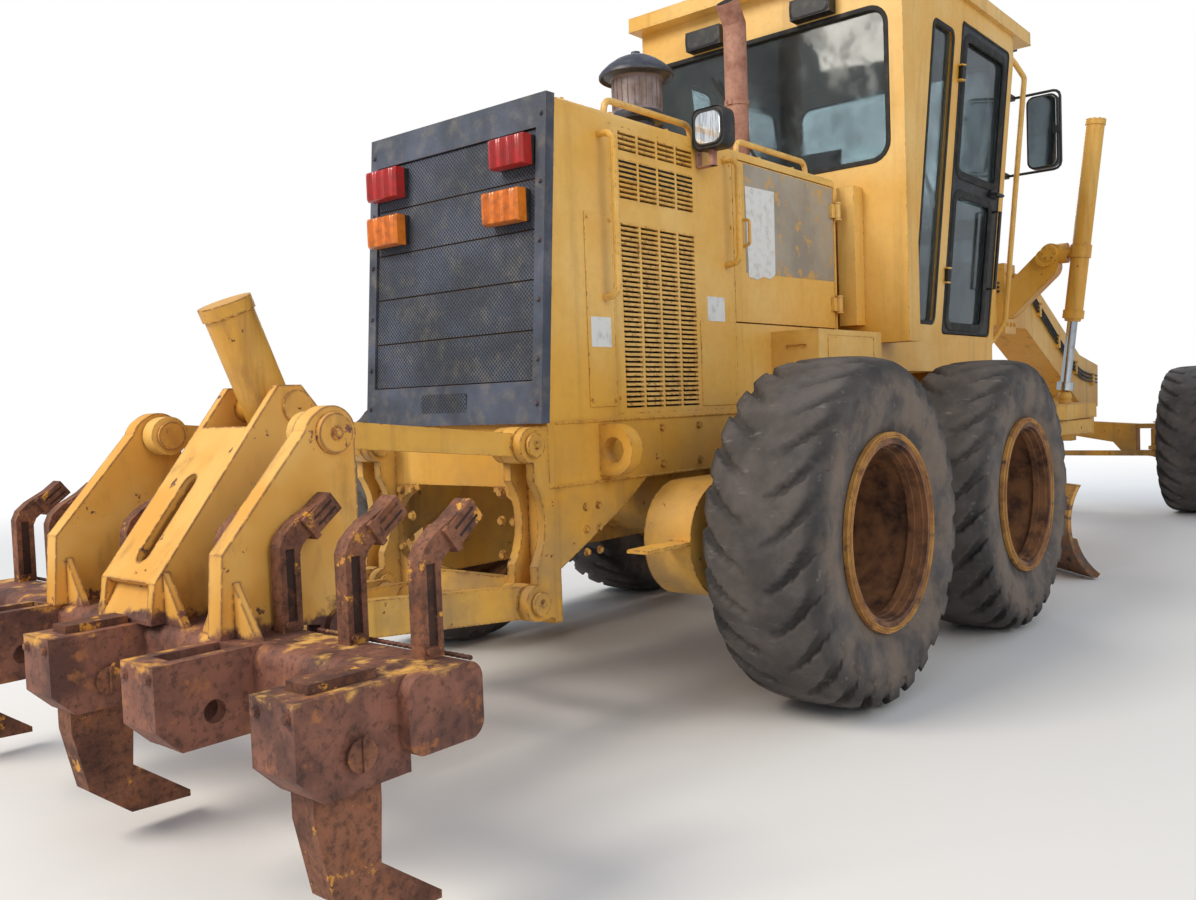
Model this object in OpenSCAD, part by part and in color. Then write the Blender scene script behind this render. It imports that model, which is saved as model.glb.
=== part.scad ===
/* [Wheels] */
// Radius of every tyre, out to the tips of its lugs
tyre_r = 640; // [610:5:660]
// Width of every tyre
tyre_w = 440; // [400:10:460]
// Radius of the tyre's bead, where it sits on the rim
bead_r = 335; // [320:5:350]
// Radius of the rim's flange
rim_flange_r = 361; // [355:2:375]
// Distance between the two rear axles
tandem_spacing = 1523; // [1480:5:1600]
// Distance from the middle of the tandem to the front axle
wheelbase = 6086; // [6050:10:6200]
// Number of lugs on each side of a tyre, even, so that a lug's tip stands on the ground
tyre_lugs = 22; // [20:2:24]
// From the middle plane to the middle of a rear tyre
rear_track_half = 1060; // [1050:5:1090]
// From the middle plane to the middle of a front tyre
front_track_half = 1040; // [1030:5:1080]
// Length of the tandem case past each rear axle
tandem_overhang = 590; // [560:10:620]
// Height of the tandem case
tandem_h = 420; // [380:10:440]

/* [Frame] */
// Height of the underside of the rear frame's rails
rail_z = 860; // [850:5:870]
// Depth of the rear frame's rails
rail_h = 220; // [200:5:230]
// Half width over the rear frame's rails
rail_half = 470; // [466:1:480]
// Thickness of the rear frame's rails across the machine
rail_t = 100; // [80:5:110]
// Place of the hitch pin ahead of the middle of the tandem
hitch_x = 1950; // [1940:5:1980]
// Radius of the hitch pin
hitch_pin_r = 45; // [35:1:55]
// Half width of the front frame's beam
beam_half = 160; // [140:5:180]
// Height of the underside of the beam over the blade
beam_z = 1610; // [1600:5:1640]
// Depth of the beam over the blade
beam_h = 420; // [380:10:440]

/* [Hood] */
// Half width of the engine hood
hood_half = 465; // [455:1:468]
// Height of the top of the hood
hood_top = 2200; // [2180:5:2240]
// Front end of the hood
hood_front = 454; // [440:2:460]
// Top of the hood's sloping rear edge
hood_rear_top = -1595; // [-1600:5:-1580]
// Foot of the hood's sloping rear edge
hood_rear_foot = -1683; // [-1690:1:-1675]
// Thickness of the hood's walls and doors
hood_t = 30; // [20:2:36]
// Depth of the rear grille's frame
grille_t = 42; // [34:2:50]

/* [Cab] */
// Rear wall of the cab
cab_rear = 590; // [580:5:600]
// Front wall of the cab
cab_front = 2200; // [2190:2:2210]
// Half width of the cab at its top and at its rear posts
cab_half = 775; // [760:5:790]
// Half width of the cab at its floor
cab_foot_half = 615; // [600:5:630]
// Top of the cab's floor
cab_floor = 1440; // [1430:2:1446]
// Underside of the cab's roof panel
cab_roof = 3235; // [3220:5:3260]
// Thickness of the roof panel
roof_t = 72; // [60:2:80]
// Thickness of the cab's walls and doors
cab_t = 45; // [38:1:50]
// Rear edge of the cab door's opening
door_rear = 1380; // [1370:2:1390]
// Width of the cab door's opening
door_w = 750; // [730:5:760]
// Height of the cab door's opening, along the sloping side
door_h = 1675; // [1640:5:1690]
// Thickness of every pane
pane_t = 8; // [5:1:10]

/* [Blade] */
// Length of the blade
blade_l = 3658; // [3600:10:3700]
// Height of the blade, along its chord
blade_h = 560; // [520:5:600]
// How far the parked blade's chord leans back
blade_lean = 10; // [0:1:15]
// Radius of the blade's curve
blade_curve_r = 413; // [400:5:450]
// Thickness of the blade
blade_t = 22; // [18:1:28]
// Angle of the parked blade, with its right end trailing
blade_angle = -45; // [-47:0.5:-43]
// How far the parked blade is shifted to the right
blade_shift = 60; // [40:5:65]
// How far the blade's edge is behind the middle of the circle
blade_back = 210; // [200:5:230]
// Gap between the parked blade and the ground
blade_ground_gap = 10; // [5:1:20]
// Place of the middle of the circle ahead of the middle of the tandem
circle_x = 3740; // [3720:5:3760]
// Outer radius of the circle
circle_r = 765; // [755:5:775]
// Height of the circle's underside
circle_z = 800; // [795:1:805]
// Thickness of the circle
circle_t = 100; // [90:2:110]
// How far the drawbar's ball is behind the front axle
ball_back = 436; // [426:2:446]
// Height of the drawbar's ball
ball_z = 760; // [755:1:765]

/* [Ripper] */
// Place of the bracket's pins behind the middle of the tandem
bracket_pin_x = -1777; // [-1780:1:-1774]
// Height of the bracket's lower pins
bracket_low_z = 481; // [475:1:487]
// Height between the lower and upper pins, on the bracket and on the carriage
link_rise = 529; // [520:1:535]
// How far the links reach back to the carriage's pins
link_back = 808; // [800:1:815]
// How far the parked links rise to the carriage's pins
link_up = 77; // [70:1:84]
// Middle of a link across the machine
link_y = 400; // [395:1:405]
// Width of a link's eyes
link_w = 60; // [54:1:62]
// Spacing of the pockets for the shanks
pocket_pitch = 534; // [525:1:540]
// Half length of the ripper's beam
ripper_half = 1180; // [1170:5:1190]

/* [Hidden] */
$fn = 64;

// Clearances: between moving faces, of a pin in its eye, of a rod in its barrel, of a seat
side_gap = 5;
pin_gap = 0.05;
rod_gap = 0.3;
seat_gap = 0.3;

// Colours
yellow = "#e2a52c";
dark = "#33383f";
black = "#1c1c1c";
rust = "#8a4a22";
chrome_grey = "#c9ccd0";
glass_green = "#9fb8b0";

// Wheels
axle_z = tyre_r;
rear_axle_x = -tandem_spacing / 2;
mid_axle_x = tandem_spacing / 2;
front_x = wheelbase + tyre_r;
spindle_r = 90;
disc_in = 120;
disc_t = 24;
rim_half = tyre_w / 2 - 12;

// Tandem
tandem_face = rear_track_half - tyre_w / 2 - 45;
tandem_t = 200;
tandem_end = tandem_spacing / 2 + tandem_overhang;

// Ripper's pins
bracket_high_z = bracket_low_z + link_rise;
carriage_pin_x = bracket_pin_x - link_back;
carriage_low_z = bracket_low_z + link_up;
carriage_high_z = carriage_low_z + link_rise;
ripper_pin_r = 30;
link_in = link_y - link_w / 2;
link_out = link_y + link_w / 2;
eye_r = 62;

// Ripper's beam
pocket_pin_x = -2974;
pocket_pin_z = 458;
pocket_rear_x = -3178;
pocket_w = 150;
pocket_top = 590;
pocket_foot = 382;
beam_front_x = -2720;
shank_t = 76;
tooth_pitch = pocket_pitch / 2;

// Ripper's cylinder, from its trunnion on the carriage to its eye on the lower link
trunnion = [-2460, 1165];
rod_eye = [-2186, 500];
trunnion_r = 40;
trunnion_in = 120;
trunnion_out = 150;
ripper_run = norm(rod_eye - trunnion);
ripper_lean = atan2(rod_eye[0] - trunnion[0], trunnion[1] - rod_eye[1]);

// Lift cylinders
lift_end = [circle_x + 15, 597, 1115];
lift_pivot = [circle_x + 20, 722, 2105];
lift_run = norm(lift_end - lift_pivot);
lift_lean = asin((lift_pivot[1] - lift_end[1]) / lift_run);
lift_top = 920;
lift_barrel_r = 62;
lift_rod_r = 35;
lift_pin_r = 38;

// Drawbar and circle
ball_x = wheelbase - ball_back;
circle_top = circle_z + circle_t;
circle_in_r = circle_r - 150;
drawbar_z = circle_top + side_gap;
drawbar_t = 110;
ball_r = 85;
stud_r = 48;
shoe_angle = 50;

// Blade's carriage, in the blade's own frame, whose X points the way the blade pushes
edge_x = -blade_back;
chord_off = sqrt(blade_curve_r * blade_curve_r - blade_h * blade_h / 4);
blade_c = [
  edge_x - blade_h / 2 * sin(blade_lean) + chord_off * cos(blade_lean),
  blade_ground_gap + blade_h / 2 * cos(blade_lean) + chord_off * sin(blade_lean)
];
blade_top = blade_ground_gap + blade_h * cos(blade_lean);
back_x = blade_c[0] - blade_curve_r - blade_t;
arm_y = 520;
arm_t = 40;
tip_pin = [-520, 170];
tip_pin_r = 32;
slide_low = 190;
slide_high = 440;
slide_h = 50;
slide_d = 34;
slide_half = 1300;
shift_z = 560;
shift_x = edge_x - 190;
shift_r = 50;

// The middle of the parked machine's box, which is the origin of the whole part
centre_x = (front_x + pocket_rear_x) / 2;
blade_left_y = (blade_l / 2 - blade_shift) * cos(blade_angle) + back_x * sin(blade_angle);
centre_y = round((blade_left_y - rear_track_half - tyre_w / 2) / 2);

// Front axle and steering
king_y = 740;
king_pin_r = 32;
king_arm = 170;
tie_x = 220;
tie_y = king_y;
tie_z = 560;
tie_pin_r = 16;

// Cab's sloping sides
cab_post = 720;
cab_slope_top = 3100;
cab_lean = atan((cab_half - cab_foot_half) / (cab_slope_top - cab_floor));
door_gap = 6;
hinge_out = 20;
hinge_in = 8;
hinge_r = 9;
pane_gap = 0.3;

// Shared shapes
module both_sides() {
  children();
  mirror([0, 1, 0]) children();
}

module rod_y(x, z, r, y0, y1) {
  translate([x, y0, z]) rotate([-90, 0, 0]) cylinder(r = r, h = y1 - y0);
}

module rod_x(y, z, r, x0, x1) {
  translate([x0, y, z]) rotate([0, 90, 0]) cylinder(r = r, h = x1 - x0);
}

// A side view's outline, X and Z, made as thick as y0 to y1
module plate_y(y0, y1) {
  translate([0, y1, 0]) rotate([90, 0, 0]) linear_extrude(y1 - y0) children();
}

// A rear view's outline, Y and Z, made as long as x0 to x1
module plate_x(x0, x1) {
  translate([x0, 0, 0]) rotate([90, 0, 90]) linear_extrude(x1 - x0) children();
}

module block(x0, x1, y0, y1, z0, z1) {
  translate([x0, y0, z0]) cube([x1 - x0, y1 - y0, z1 - z0]);
}

// A bar with round ends from a to b
module link2d(a, b, w) {
  d = b - a;
  translate(a) circle(d = w);
  translate(b) circle(d = w);
  translate(a) rotate(atan2(d[1], d[0])) translate([0, -w / 2]) square([norm(d), w]);
}

module round_square(size, r) {
  translate([r, 0]) square([size[0] - 2 * r, size[1]]);
  translate([0, r]) square([size[0], size[1] - 2 * r]);
  for (x = [r, size[0] - r], y = [r, size[1] - r]) translate([x, y]) circle(r = r);
}

// A round bar swept through a list of points, its corners bent at radius bend.
// The vector flat stands across the bar's own plane
bar_sides = 10;
bend_steps = 3;
function unit(v) = v / norm(v);
function bent(points, bend) = [
  for (i = [0:len(points) - 1])
    if (i == 0 || i == len(points) - 1) points[i]
    else
      let (
        along = unit(points[i] - points[i - 1]),
        next = unit(points[i + 1] - points[i]),
        turn = acos(along * next),
        side = unit(next - (next * along) * along),
        middle = points[i] - along * bend * tan(turn / 2) + side * bend
      )
      for (k = [0:bend_steps])
        middle + bend * (along * sin(turn * k / bend_steps) - side * cos(turn * k / bend_steps))
];
function bar_ring(at, along, flat, r) =
  let (u = unit(cross(flat, along)), v = cross(along, u))
  [for (k = [0:bar_sides - 1]) at + r * (u * cos(360 * k / bar_sides) + v * sin(360 * k / bar_sides))];

module bar(points, r, flat, bend = 40) {
  way = bent(points, bend);
  last = len(way) - 1;
  rings = [
    for (i = [0:last])
      bar_ring(way[i], unit(way[min(i + 1, last)] - way[max(i - 1, 0)]), flat, r)
  ];
  n = bar_sides;
  polyhedron(
    [for (ring = rings) each ring],
    [
      [for (k = [0:n - 1]) k],
      [for (k = [0:n - 1]) last * n + n - 1 - k],
      for (i = [0:last - 1], k = [0:n - 1])
        [(i + 1) * n + k, (i + 1) * n + (k + 1) % n, i * n + (k + 1) % n, i * n + k]
    ]
  );
}

// A barrel along -Z from its pivot, with a blind bore for its rod
module barrel(up, down, r, bore_r) {
  difference() {
    union() {
      translate([0, 0, -down]) cylinder(r = r, h = up + down);
      translate([0, 0, -down]) cylinder(r = r + 10, h = 60);
      translate([0, 0, up - 40]) cylinder(r = r + 6, h = 40);
    }
    translate([0, 0, -down - 1]) cylinder(r = bore_r + rod_gap, h = up + down - 30);
  }
}

// Tyres and rims, about the Y axis, with the outer side towards +Y.
// A tyre is swept round from the rings below: radius, place across, depth of the groove between
// two lugs there, and how far the lugs have bent back by there, in degrees
tyre_steps = 2 * tyre_lugs;
tyre_half_rings = [
  [bead_r / cos(180 / tyre_steps), 170, 0, 0], [bead_r + 140, tyre_w / 2, 0, 0],
  [tyre_r - 50, tyre_w / 2 - 8, 22, 12], [tyre_r - 18, tyre_w / 2 - 40, 20, 9],
  [tyre_r - 4, tyre_w / 2 - 110, 8, 4]
];
tyre_rings = [
  for (ring = tyre_half_rings) [ring, 0],
  [[tyre_r, 0, 0, 0], 0],
  for (i = [len(tyre_half_rings) - 1:-1:0])
    let (ring = tyre_half_rings[i]) [[ring[0], -ring[1], ring[2], ring[3]], 1]
];
function tyre_point(ring, i) =
  let (
    r = ring[0][0] - ring[0][2] * ((i + ring[1]) % 2),
    a = i * 360 / tyre_steps - ring[0][3]
  )
  [r * sin(a), ring[0][1], r * cos(a)];

module tyre() {
  n = len(tyre_rings);
  color("#2b2b2b") polyhedron(
    [for (i = [0:tyre_steps - 1], ring = tyre_rings) tyre_point(ring, i)],
    [
      for (i = [0:tyre_steps - 1], k = [0:n - 1])
        let (j = (i + 1) % tyre_steps, m = (k + 1) % n)
        each [[i * n + k, i * n + m, j * n + k], [i * n + m, j * n + m, j * n + k]]
    ]
  );
}

module rim() {
  seat_r = bead_r - seat_gap;
  color(rust) rotate([-90, 0, 0]) {
    difference() {
      union() {
        rotate_extrude($fn = 96) {
          translate([seat_r - 16, -rim_half]) square([16, 2 * rim_half]);
          for (side = [-1, 1])
            translate([seat_r - 16, side * (rim_half - 8) - 8]) square([rim_flange_r - seat_r + 16, 16]);
          for (step = [[32, rim_half - 74, 26], [24, rim_half - 48, 30]])
            translate([seat_r - step[0], step[1]]) square([step[0] - 15, step[2]]);
          translate([spindle_r + pin_gap, -disc_in - disc_t]) square([seat_r - spindle_r - 8, disc_t]);
          translate([spindle_r + pin_gap, -disc_in - disc_t]) square([60, 90]);
        }
        translate([0, 0, 90 - disc_in - disc_t]) cylinder(r = spindle_r + 60, h = 16);
      }
      for (a = [0:45:315])
        rotate(a + 22.5) translate([235, 0, -disc_in - disc_t - 1]) cylinder(r = 42, h = disc_t + 2);
    }
  }
}

module wheel_place(x, side, track) {
  translate([x, 0, axle_z]) mirror([0, side < 0 ? 1 : 0, 0]) translate([0, track, 0]) children();
}

// Rear frame
module rear_frame() {
  rail_top = rail_z + rail_h;
  rail_front = 1650;
  color(yellow) difference() {
    union() {
      both_sides() {
        block(rear_face, rail_front, rail_half - rail_t, rail_half, rail_z, rail_top);
        for (x = [700, 1540])
          block(x - 60, x + 60, rail_half - rail_t, cab_foot_half - 15, rail_top, cab_floor - 190);
        tow_eye();
      }
      block(rear_face, rear_face + 40, -rail_half, rail_half, rail_z, rail_top);
      for (x = [-900, 250, 1450])
        block(x - 50, x + 50, rail_t - rail_half, rail_half - rail_t, rail_z + 10, rail_z + 140);
      for (z = [700, rail_top]) translate([0, 0, z]) linear_extrude(40) hitch_plate();
      both_sides() block(1500, 1640, 110, 160, 740, rail_top);
      translate([hitch_x, 0, 690]) cylinder(r = hitch_pin_r, h = rail_top + 60 - 690);
      block(rail_front - 80, rail_front, -rail_half, rail_half, rail_z, rail_top);
    }
    both_sides() tow_bore();
  }
}

module hitch_plate() {
  polygon([[1500, -240], [1500, 240], [hitch_x, 110], [hitch_x, -110]]);
  translate([hitch_x, 0]) circle(r = 110);
}

tow_x = -1400;
tow_z = 974;
tow_r = 52;
module tow_eye() {
  translate([tow_x, rail_half + 55, tow_z]) rotate([0, 90, 0]) cylinder(r = 92, h = 60, center = true);
  block(tow_x - 30, tow_x + 30, rail_half - 10, rail_half + 55, tow_z - 92, tow_z + 92);
}
module tow_bore() {
  translate([tow_x, rail_half + 62, tow_z]) rotate([0, 90, 0]) cylinder(r = tow_r - 6, h = 70, center = true);
}

// Ripper bracket below and behind the rear frame
rear_face = -1700;
lug_t = 36;
module bracket_outline() {
  difference() {
    union() {
      for (z = [bracket_low_z, bracket_high_z]) translate([bracket_pin_x, z]) circle(r = 60);
      translate([bracket_pin_x, bracket_low_z - 60])
        square([rear_face - bracket_pin_x, link_rise + 120]);
    }
    translate([bracket_pin_x - 205, bracket_low_z + link_rise / 2]) circle(r = 250);
  }
}

module ripper_bracket() {
  color(yellow) {
    both_sides() {
      for (y = [link_in - side_gap - lug_t, link_out + side_gap]) plate_y(y, y + lug_t) bracket_outline();
      for (z = [bracket_low_z, bracket_high_z])
        rod_y(bracket_pin_x, z, ripper_pin_r, link_in - side_gap - lug_t - 12, link_out + side_gap + lug_t + 12);
      difference() {
        block(rear_face, rear_face + 40, 200, link_out + side_gap + lug_t, 400, rail_z);
        rod_x(200, 690, 150, rear_face - 10, rear_face + 50);
      }
      plate_y(rail_half - 40, rail_half)
        polygon([[rear_face, 560], [rear_face, rail_z], [-1150, rail_z], [-1300, 760]]);
    }
    block(rear_face, rear_face + 40, -200, 200, 400, 540);
  }
}

// Tandem cases and the rear axle's housing
module tandem_cases() {
  color(yellow) {
    both_sides() {
      plate_y(tandem_face - tandem_t, tandem_face)
        link2d([-tandem_end + tandem_h / 2, axle_z], [tandem_end - tandem_h / 2, axle_z], tandem_h);
      for (x = [rear_axle_x, mid_axle_x])
        rod_y(x, axle_z, spindle_r, tandem_face - 10, rear_track_half - disc_in - disc_t + 78);
      block(-140, 140, rail_half - rail_t, rail_half, axle_z, rail_z);
      block(-tandem_end - 240, -tandem_end + 60, tandem_face - 90, tandem_face, 640, 652);
    }
    rod_y(0, axle_z + 20, 180, tandem_t - tandem_face, tandem_face - tandem_t);
    translate([0, 0, axle_z + 20]) sphere(r = 235);
  }
}

// Engine, radiator and transmission as plain blocks
module engine() {
  color("#6a6a60") {
    block(-1250, 340, -300, 300, rail_z + 140, 1930);
    block(-1560, -1400, -400, 400, rail_z + rail_h + 4, 2060);
    block(-1400, -1250, -90, 90, 1300, 1500);
    block(340, 1380, -250, 250, 720, 1060);
  }
}

// Hood
panel_rear = -1310;
panel_front = -485;
panel_foot = 1100;
panel_top = 2150;
hdoor_rear = panel_front + 3;
hdoor_front = 430;
hdoor_foot = 1467;

module hood_outline() {
  polygon([
    [hood_front, rail_z + rail_h], [hood_front, hood_top],
    [hood_rear_top, hood_top], [hood_rear_foot, rail_z + rail_h]
  ]);
}

module hood() {
  r = 34;
  color(yellow) difference() {
    intersection() {
      plate_y(-hood_half, hood_half) hood_outline();
      plate_x(-1800, 600) union() {
        translate([-hood_half, 1000]) square([2 * hood_half, hood_top - r - 1000]);
        translate([r - hood_half, 1000]) square([2 * hood_half - 2 * r, hood_top - 1000]);
        for (side = [-1, 1]) translate([side * (hood_half - r), hood_top - r]) circle(r = r);
      }
    }
    block(-1800, hood_front - hood_t, hood_t - hood_half, hood_half - hood_t, 1000, hood_top - hood_t);
    for (side = [-1, 1]) translate([0, side * hood_half, 0]) {
      block(panel_rear, panel_front, -60, 60, panel_foot, panel_top);
      block(hdoor_rear - door_gap, hdoor_front + door_gap, -60, 60, hdoor_foot - door_gap, panel_top + door_gap);
    }
    translate([precleaner_x, 0, hood_top - 60]) cylinder(r = 80, h = 80);
    translate([stack_x, stack_y, hood_top - 60]) cylinder(r = 80, h = 80);
  }
  color(yellow) both_sides()
    door_hinges(hdoor_front, hood_half, hdoor_foot, panel_top - hdoor_foot, 0, 180) hinge_lugs(70);
}

// Louvres: blocks of rows, each with its foot and its number of rows, in columns across a panel
louvre_blocks = [[1120, 37], [1890, 4], [2065, 4]];
louvre_columns = 4;
louvre_rear = -1256;
louvre_w = 108;
louvre_h = 8.5;
louvre_pitch = 18.5;
column_pitch = 122;
louvre_d = 16;
module louvre_panels() {
  color(yellow) both_sides() {
    block(panel_rear, panel_front, hood_half - hood_t, hood_half - louvre_d, panel_foot, panel_top);
    plate_y(hood_half - louvre_d, hood_half) difference() {
      translate([panel_rear, panel_foot]) square([panel_front - panel_rear, panel_top - panel_foot]);
      for (b = louvre_blocks, row = [0:b[1] - 1], column = [0:louvre_columns - 1])
        translate([louvre_rear + column * column_pitch, b[0] + row * louvre_pitch]) square([louvre_w, louvre_h]);
    }
  }
}

// Rear grille, in the slope of the hood's rear edge
mesh_edge = 44;
mesh_top = 2085;
mesh_foot = 1225;
mesh_straps = 4;
module rear_grille() {
  color(dark) difference() {
    plate_y(-hood_half, hood_half) polygon([
      [hood_rear_top, hood_top], [hood_rear_top - grille_t, hood_top],
      [hood_rear_foot - grille_t, rail_z + rail_h], [hood_rear_foot, rail_z + rail_h]
    ]);
    plate_y(mesh_edge - hood_half, hood_half - mesh_edge) polygon([
      for (p = [[mesh_in, mesh_top], [-60, mesh_top], [-60, mesh_foot], [mesh_in, mesh_foot]])
        [hood_rear_at(p[1]) - grille_t + p[0], p[1]]
    ]);
  }
  strap_pitch = (mesh_top - mesh_foot) / (mesh_straps + 1);
  color(dark) for (i = [1:mesh_straps])
    rod_y(hood_rear_at(mesh_foot + i * strap_pitch) - grille_t + mesh_in, mesh_foot + i * strap_pitch, 8,
          mesh_edge - hood_half - 1, hood_half - mesh_edge + 1);
}

// The rear edge of the hood at a height, and the depth of the grille's mesh behind it
function hood_rear_at(z) =
  hood_rear_top + (hood_rear_foot - hood_rear_top) * (hood_top - z) / (hood_top - rail_z - rail_h);
mesh_in = 22;

// Tail lamps: colour, right edge, left edge, foot, top
module tail_lamps() {
  lamps = [
    ["#a01c1c", -410, -250, 1960, 2060], ["#d9731c", -390, -220, 1770, 1880],
    ["#a01c1c", 250, 420, 1950, 2060], ["#d9731c", 240, 410, 1770, 1880]
  ];
  for (l = lamps) {
    rear = hood_rear_at(l[3]) - grille_t - 45;
    color(l[0]) plate_y(l[1], l[2]) polygon([
      [rear, l[3]], [rear, l[4]],
      [hood_rear_at(l[4]) - grille_t + mesh_in - seat_gap, l[4]],
      [hood_rear_at(l[3]) - grille_t + mesh_in - seat_gap, l[3]]
    ]);
  }
}

// Exhaust stack and precleaner on the hood
stack_x = 330;
stack_y = 0;
precleaner_x = -510;
module exhaust_stack() {
  color(rust) translate([stack_x, stack_y, 0]) {
    translate([0, 0, 1930]) cylinder(r = 58, h = 1100);
    translate([0, 0, hood_top]) cylinder(r = 75, h = 20);
    translate([0, 0, 3030]) sphere(r = 58);
    translate([0, 0, 3030]) rotate([0, -35, 0]) cylinder(r = 58, h = 120);
  }
}

module precleaner() {
  color("#4a4a48") translate([precleaner_x, 0, 0]) {
    translate([0, 0, hood_top]) cylinder(r = 100, h = 12);
    translate([0, 0, 1930]) cylinder(r = 70, h = 320);
    translate([0, 0, 2250]) cylinder(r1 = 90, r2 = 135, h = 60);
    translate([0, 0, 2310]) cylinder(r = 135, h = 170);
    translate([0, 0, 2480]) cylinder(r = 168, h = 50);
    translate([0, 0, 2530]) cylinder(r1 = 168, r2 = 60, h = 70);
  }
}

// Grab handles and rails on the hood, and the cab's long handrails
module grab_rails() {
  r = 13;
  out = hood_half + 70;
  color(yellow) both_sides() {
    for (h = [[-1370, 1520, 2100], [-550, 1700, 2130]])
      bar([[h[0], hood_half, h[1]], [h[0], out, h[1]], [h[0], out, h[2]], [h[0], hood_half, h[2]]], r, [1, 0, 0]);
    for (x = [[-1250, -690], [-340, 280]])
      bar([[x[0], 400, hood_top], [x[0], 400, 2262], [x[1], 400, 2262], [x[1], 400, hood_top]], r, [0, 1, 0]);
    bar([[cab_front, 600, 1430], [2250, 600, 1430], [2250, 680, 1560], [2250, 820, 2990],
         [2250, 755, 3110], [cab_front, 755, 3110]], 16, [0, 1, -0.1]);
  }
}

// Toolboxes beside the hood, and steps below the cab doors
module toolboxes() {
  color(yellow) both_sides() {
    difference() {
      block(-200, 430, hood_half, 700, 1200, 1430);
      block(-201, -190, 540, 640, 1348, 1366);
      block(-120, 350, 697, 701, 1225, 1405);
    }
    block(-110, 340, 690, 700, 1235, 1395);
    block(-150, 400, hood_half, rail_half + 60, rail_z + rail_h, 1200);
    for (z = [480, 780, 1080]) block(1560, 1920, 620, 800, z, z + 24);
    for (x = [1560, 1908]) block(x, x + 12, 600, 640, 480, 1250);
  }
}

// Cab
module on_side(side) {
  mirror([0, side > 0 ? 1 : 0, 0])
    translate([0, -cab_foot_half, cab_floor]) rotate([cab_lean, 0, 0]) children();
}

// A rectangle in the plane of a side, its corners rounded, from its outer face inwards
module side_panel(x, z, w, h, r, y0, y1) {
  translate([x, 0, z]) plate_y(y0, y1) round_square([w, h], r);
}

module cab_outline(inset) {
  polygon([
    [inset - cab_foot_half, cab_floor + inset - 50], [cab_foot_half - inset, cab_floor + inset - 50],
    [cab_half - inset, cab_slope_top], [cab_half - inset, cab_roof - inset],
    [inset - cab_half, cab_roof - inset], [inset - cab_half, cab_slope_top]
  ]);
}

// Top of the cab's floor plate
deck_z = cab_floor + cab_t - 50;
module cab_shell() {
  color(yellow) difference() {
    union() {
      plate_x(cab_post, cab_front) cab_outline(0);
      block(cab_rear, cab_post, -cab_half, cab_half, cab_floor - 50, cab_roof);
      block(500, 2445, -800, 800, cab_roof, cab_roof + roof_t);
      both_sides() {
        block(cab_rear - 150, cab_front, 475, cab_foot_half, cab_floor - 190, cab_floor);
        block(495, cab_rear + 5, 455, 546, 1480, 2160);
      }
    }
    plate_x(cab_rear + cab_t, cab_front - cab_t) cab_outline(cab_t);
    plate_x(cab_rear - 20, cab_rear + 100) translate([-690, 2280]) round_square([1380, 740], 90);
    plate_x(cab_front - 100, cab_front + 20) {
      translate([-640, 2180]) round_square([1280, 900], 80);
      for (side = [-1, 1]) translate([side * 300 - 220, 1520]) round_square([440, 560], 60);
    }
    for (side = [-1, 1]) on_side(side) {
      side_panel(1000, 70, 270, 1530, 40, -60, 120);
      side_panel(door_rear, 14, door_w, door_h, 30, -60, 120);
    }
  }
  color(yellow) for (side = [-1, 1]) on_side(side)
    door_hinge_frame(door_rear, 300) hinge_lugs(70);
}

module cab_glass() {
  mid = (cab_t - pane_t) / 2;
  color(glass_green, 0.4) {
    plate_x(cab_rear + mid, cab_rear + mid + pane_t)
      translate([pane_gap - 690, 2280 + pane_gap]) round_square([1380 - 2 * pane_gap, 740 - 2 * pane_gap], 90);
    plate_x(cab_front - mid - pane_t, cab_front - mid) {
      translate([pane_gap - 640, 2180 + pane_gap]) round_square([1280 - 2 * pane_gap, 900 - 2 * pane_gap], 80);
      for (side = [-1, 1])
        translate([side * 300 - 220 + pane_gap, 1520 + pane_gap])
          round_square([440 - 2 * pane_gap, 560 - 2 * pane_gap], 60);
    }
    for (side = [-1, 1]) on_side(side)
      side_panel(1000 + pane_gap, 70 + pane_gap, 270 - 2 * pane_gap, 1530 - 2 * pane_gap, 40, mid, mid + pane_t);
  }
}

module seat() {
  color(black) {
    block(1040, 1340, -130, 130, deck_z, 1760);
    block(960, 1460, -250, 250, 1760, 1880);
    plate_y(-240, 240) polygon([[965, 1870], [1075, 1870], [985, 2420], [960, 2480], [900, 2500], [870, 2440]]);
  }
}

module console() {
  color(black) {
    block(1830, 1960, -150, 150, deck_z, 1780);
    plate_y(-60, 60) link2d([1890, 1780], [1780, 2150], 90);
    translate([1760, 0, 2190]) rotate([0, -20, 0]) cylinder(r = 40, h = 60);
    translate([1752, 0, 2210]) rotate([0, -20, 0]) difference() {
      cylinder(r = 215, h = 24);
      translate([0, 0, -1]) cylinder(r = 190, h = 26);
    }
    translate([1752, 0, 2210]) rotate([0, -20, 0]) translate([-200, -16, 4]) cube([400, 32, 14]);
  }
}

// Doors. A hinge stands outside the door's face, with its axis along Z at x = 0, y = 0
module door_hinges(x, y, z, h, lean, turn) {
  for (z1 = [z + 80, z + h - 150])
    translate([x + (turn == 180 ? hinge_in : -hinge_in), y + hinge_out, z1])
      mirror([0, 1, 0]) mirror([turn == 180 ? 1 : 0, 0, 0]) children();
}

module door_hinge_frame(x, z) {
  for (z1 = [z, z + door_h - 2 * z]) translate([x + door_gap - hinge_in, -hinge_out, z1]) children();
}

// Lugs and pin on the fixed side, which is at -X of the axis and +Y of it
module hinge_lugs(h) {
  for (z = [-8, h]) translate([0, 0, z]) {
    cylinder(r = 17, h = 8);
    translate([-26, -10, 0]) cube([24, 10 + hinge_out + 4, 8]);
  }
  translate([0, 0, -8]) cylinder(r = hinge_r, h = h + 16);
}

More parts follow.
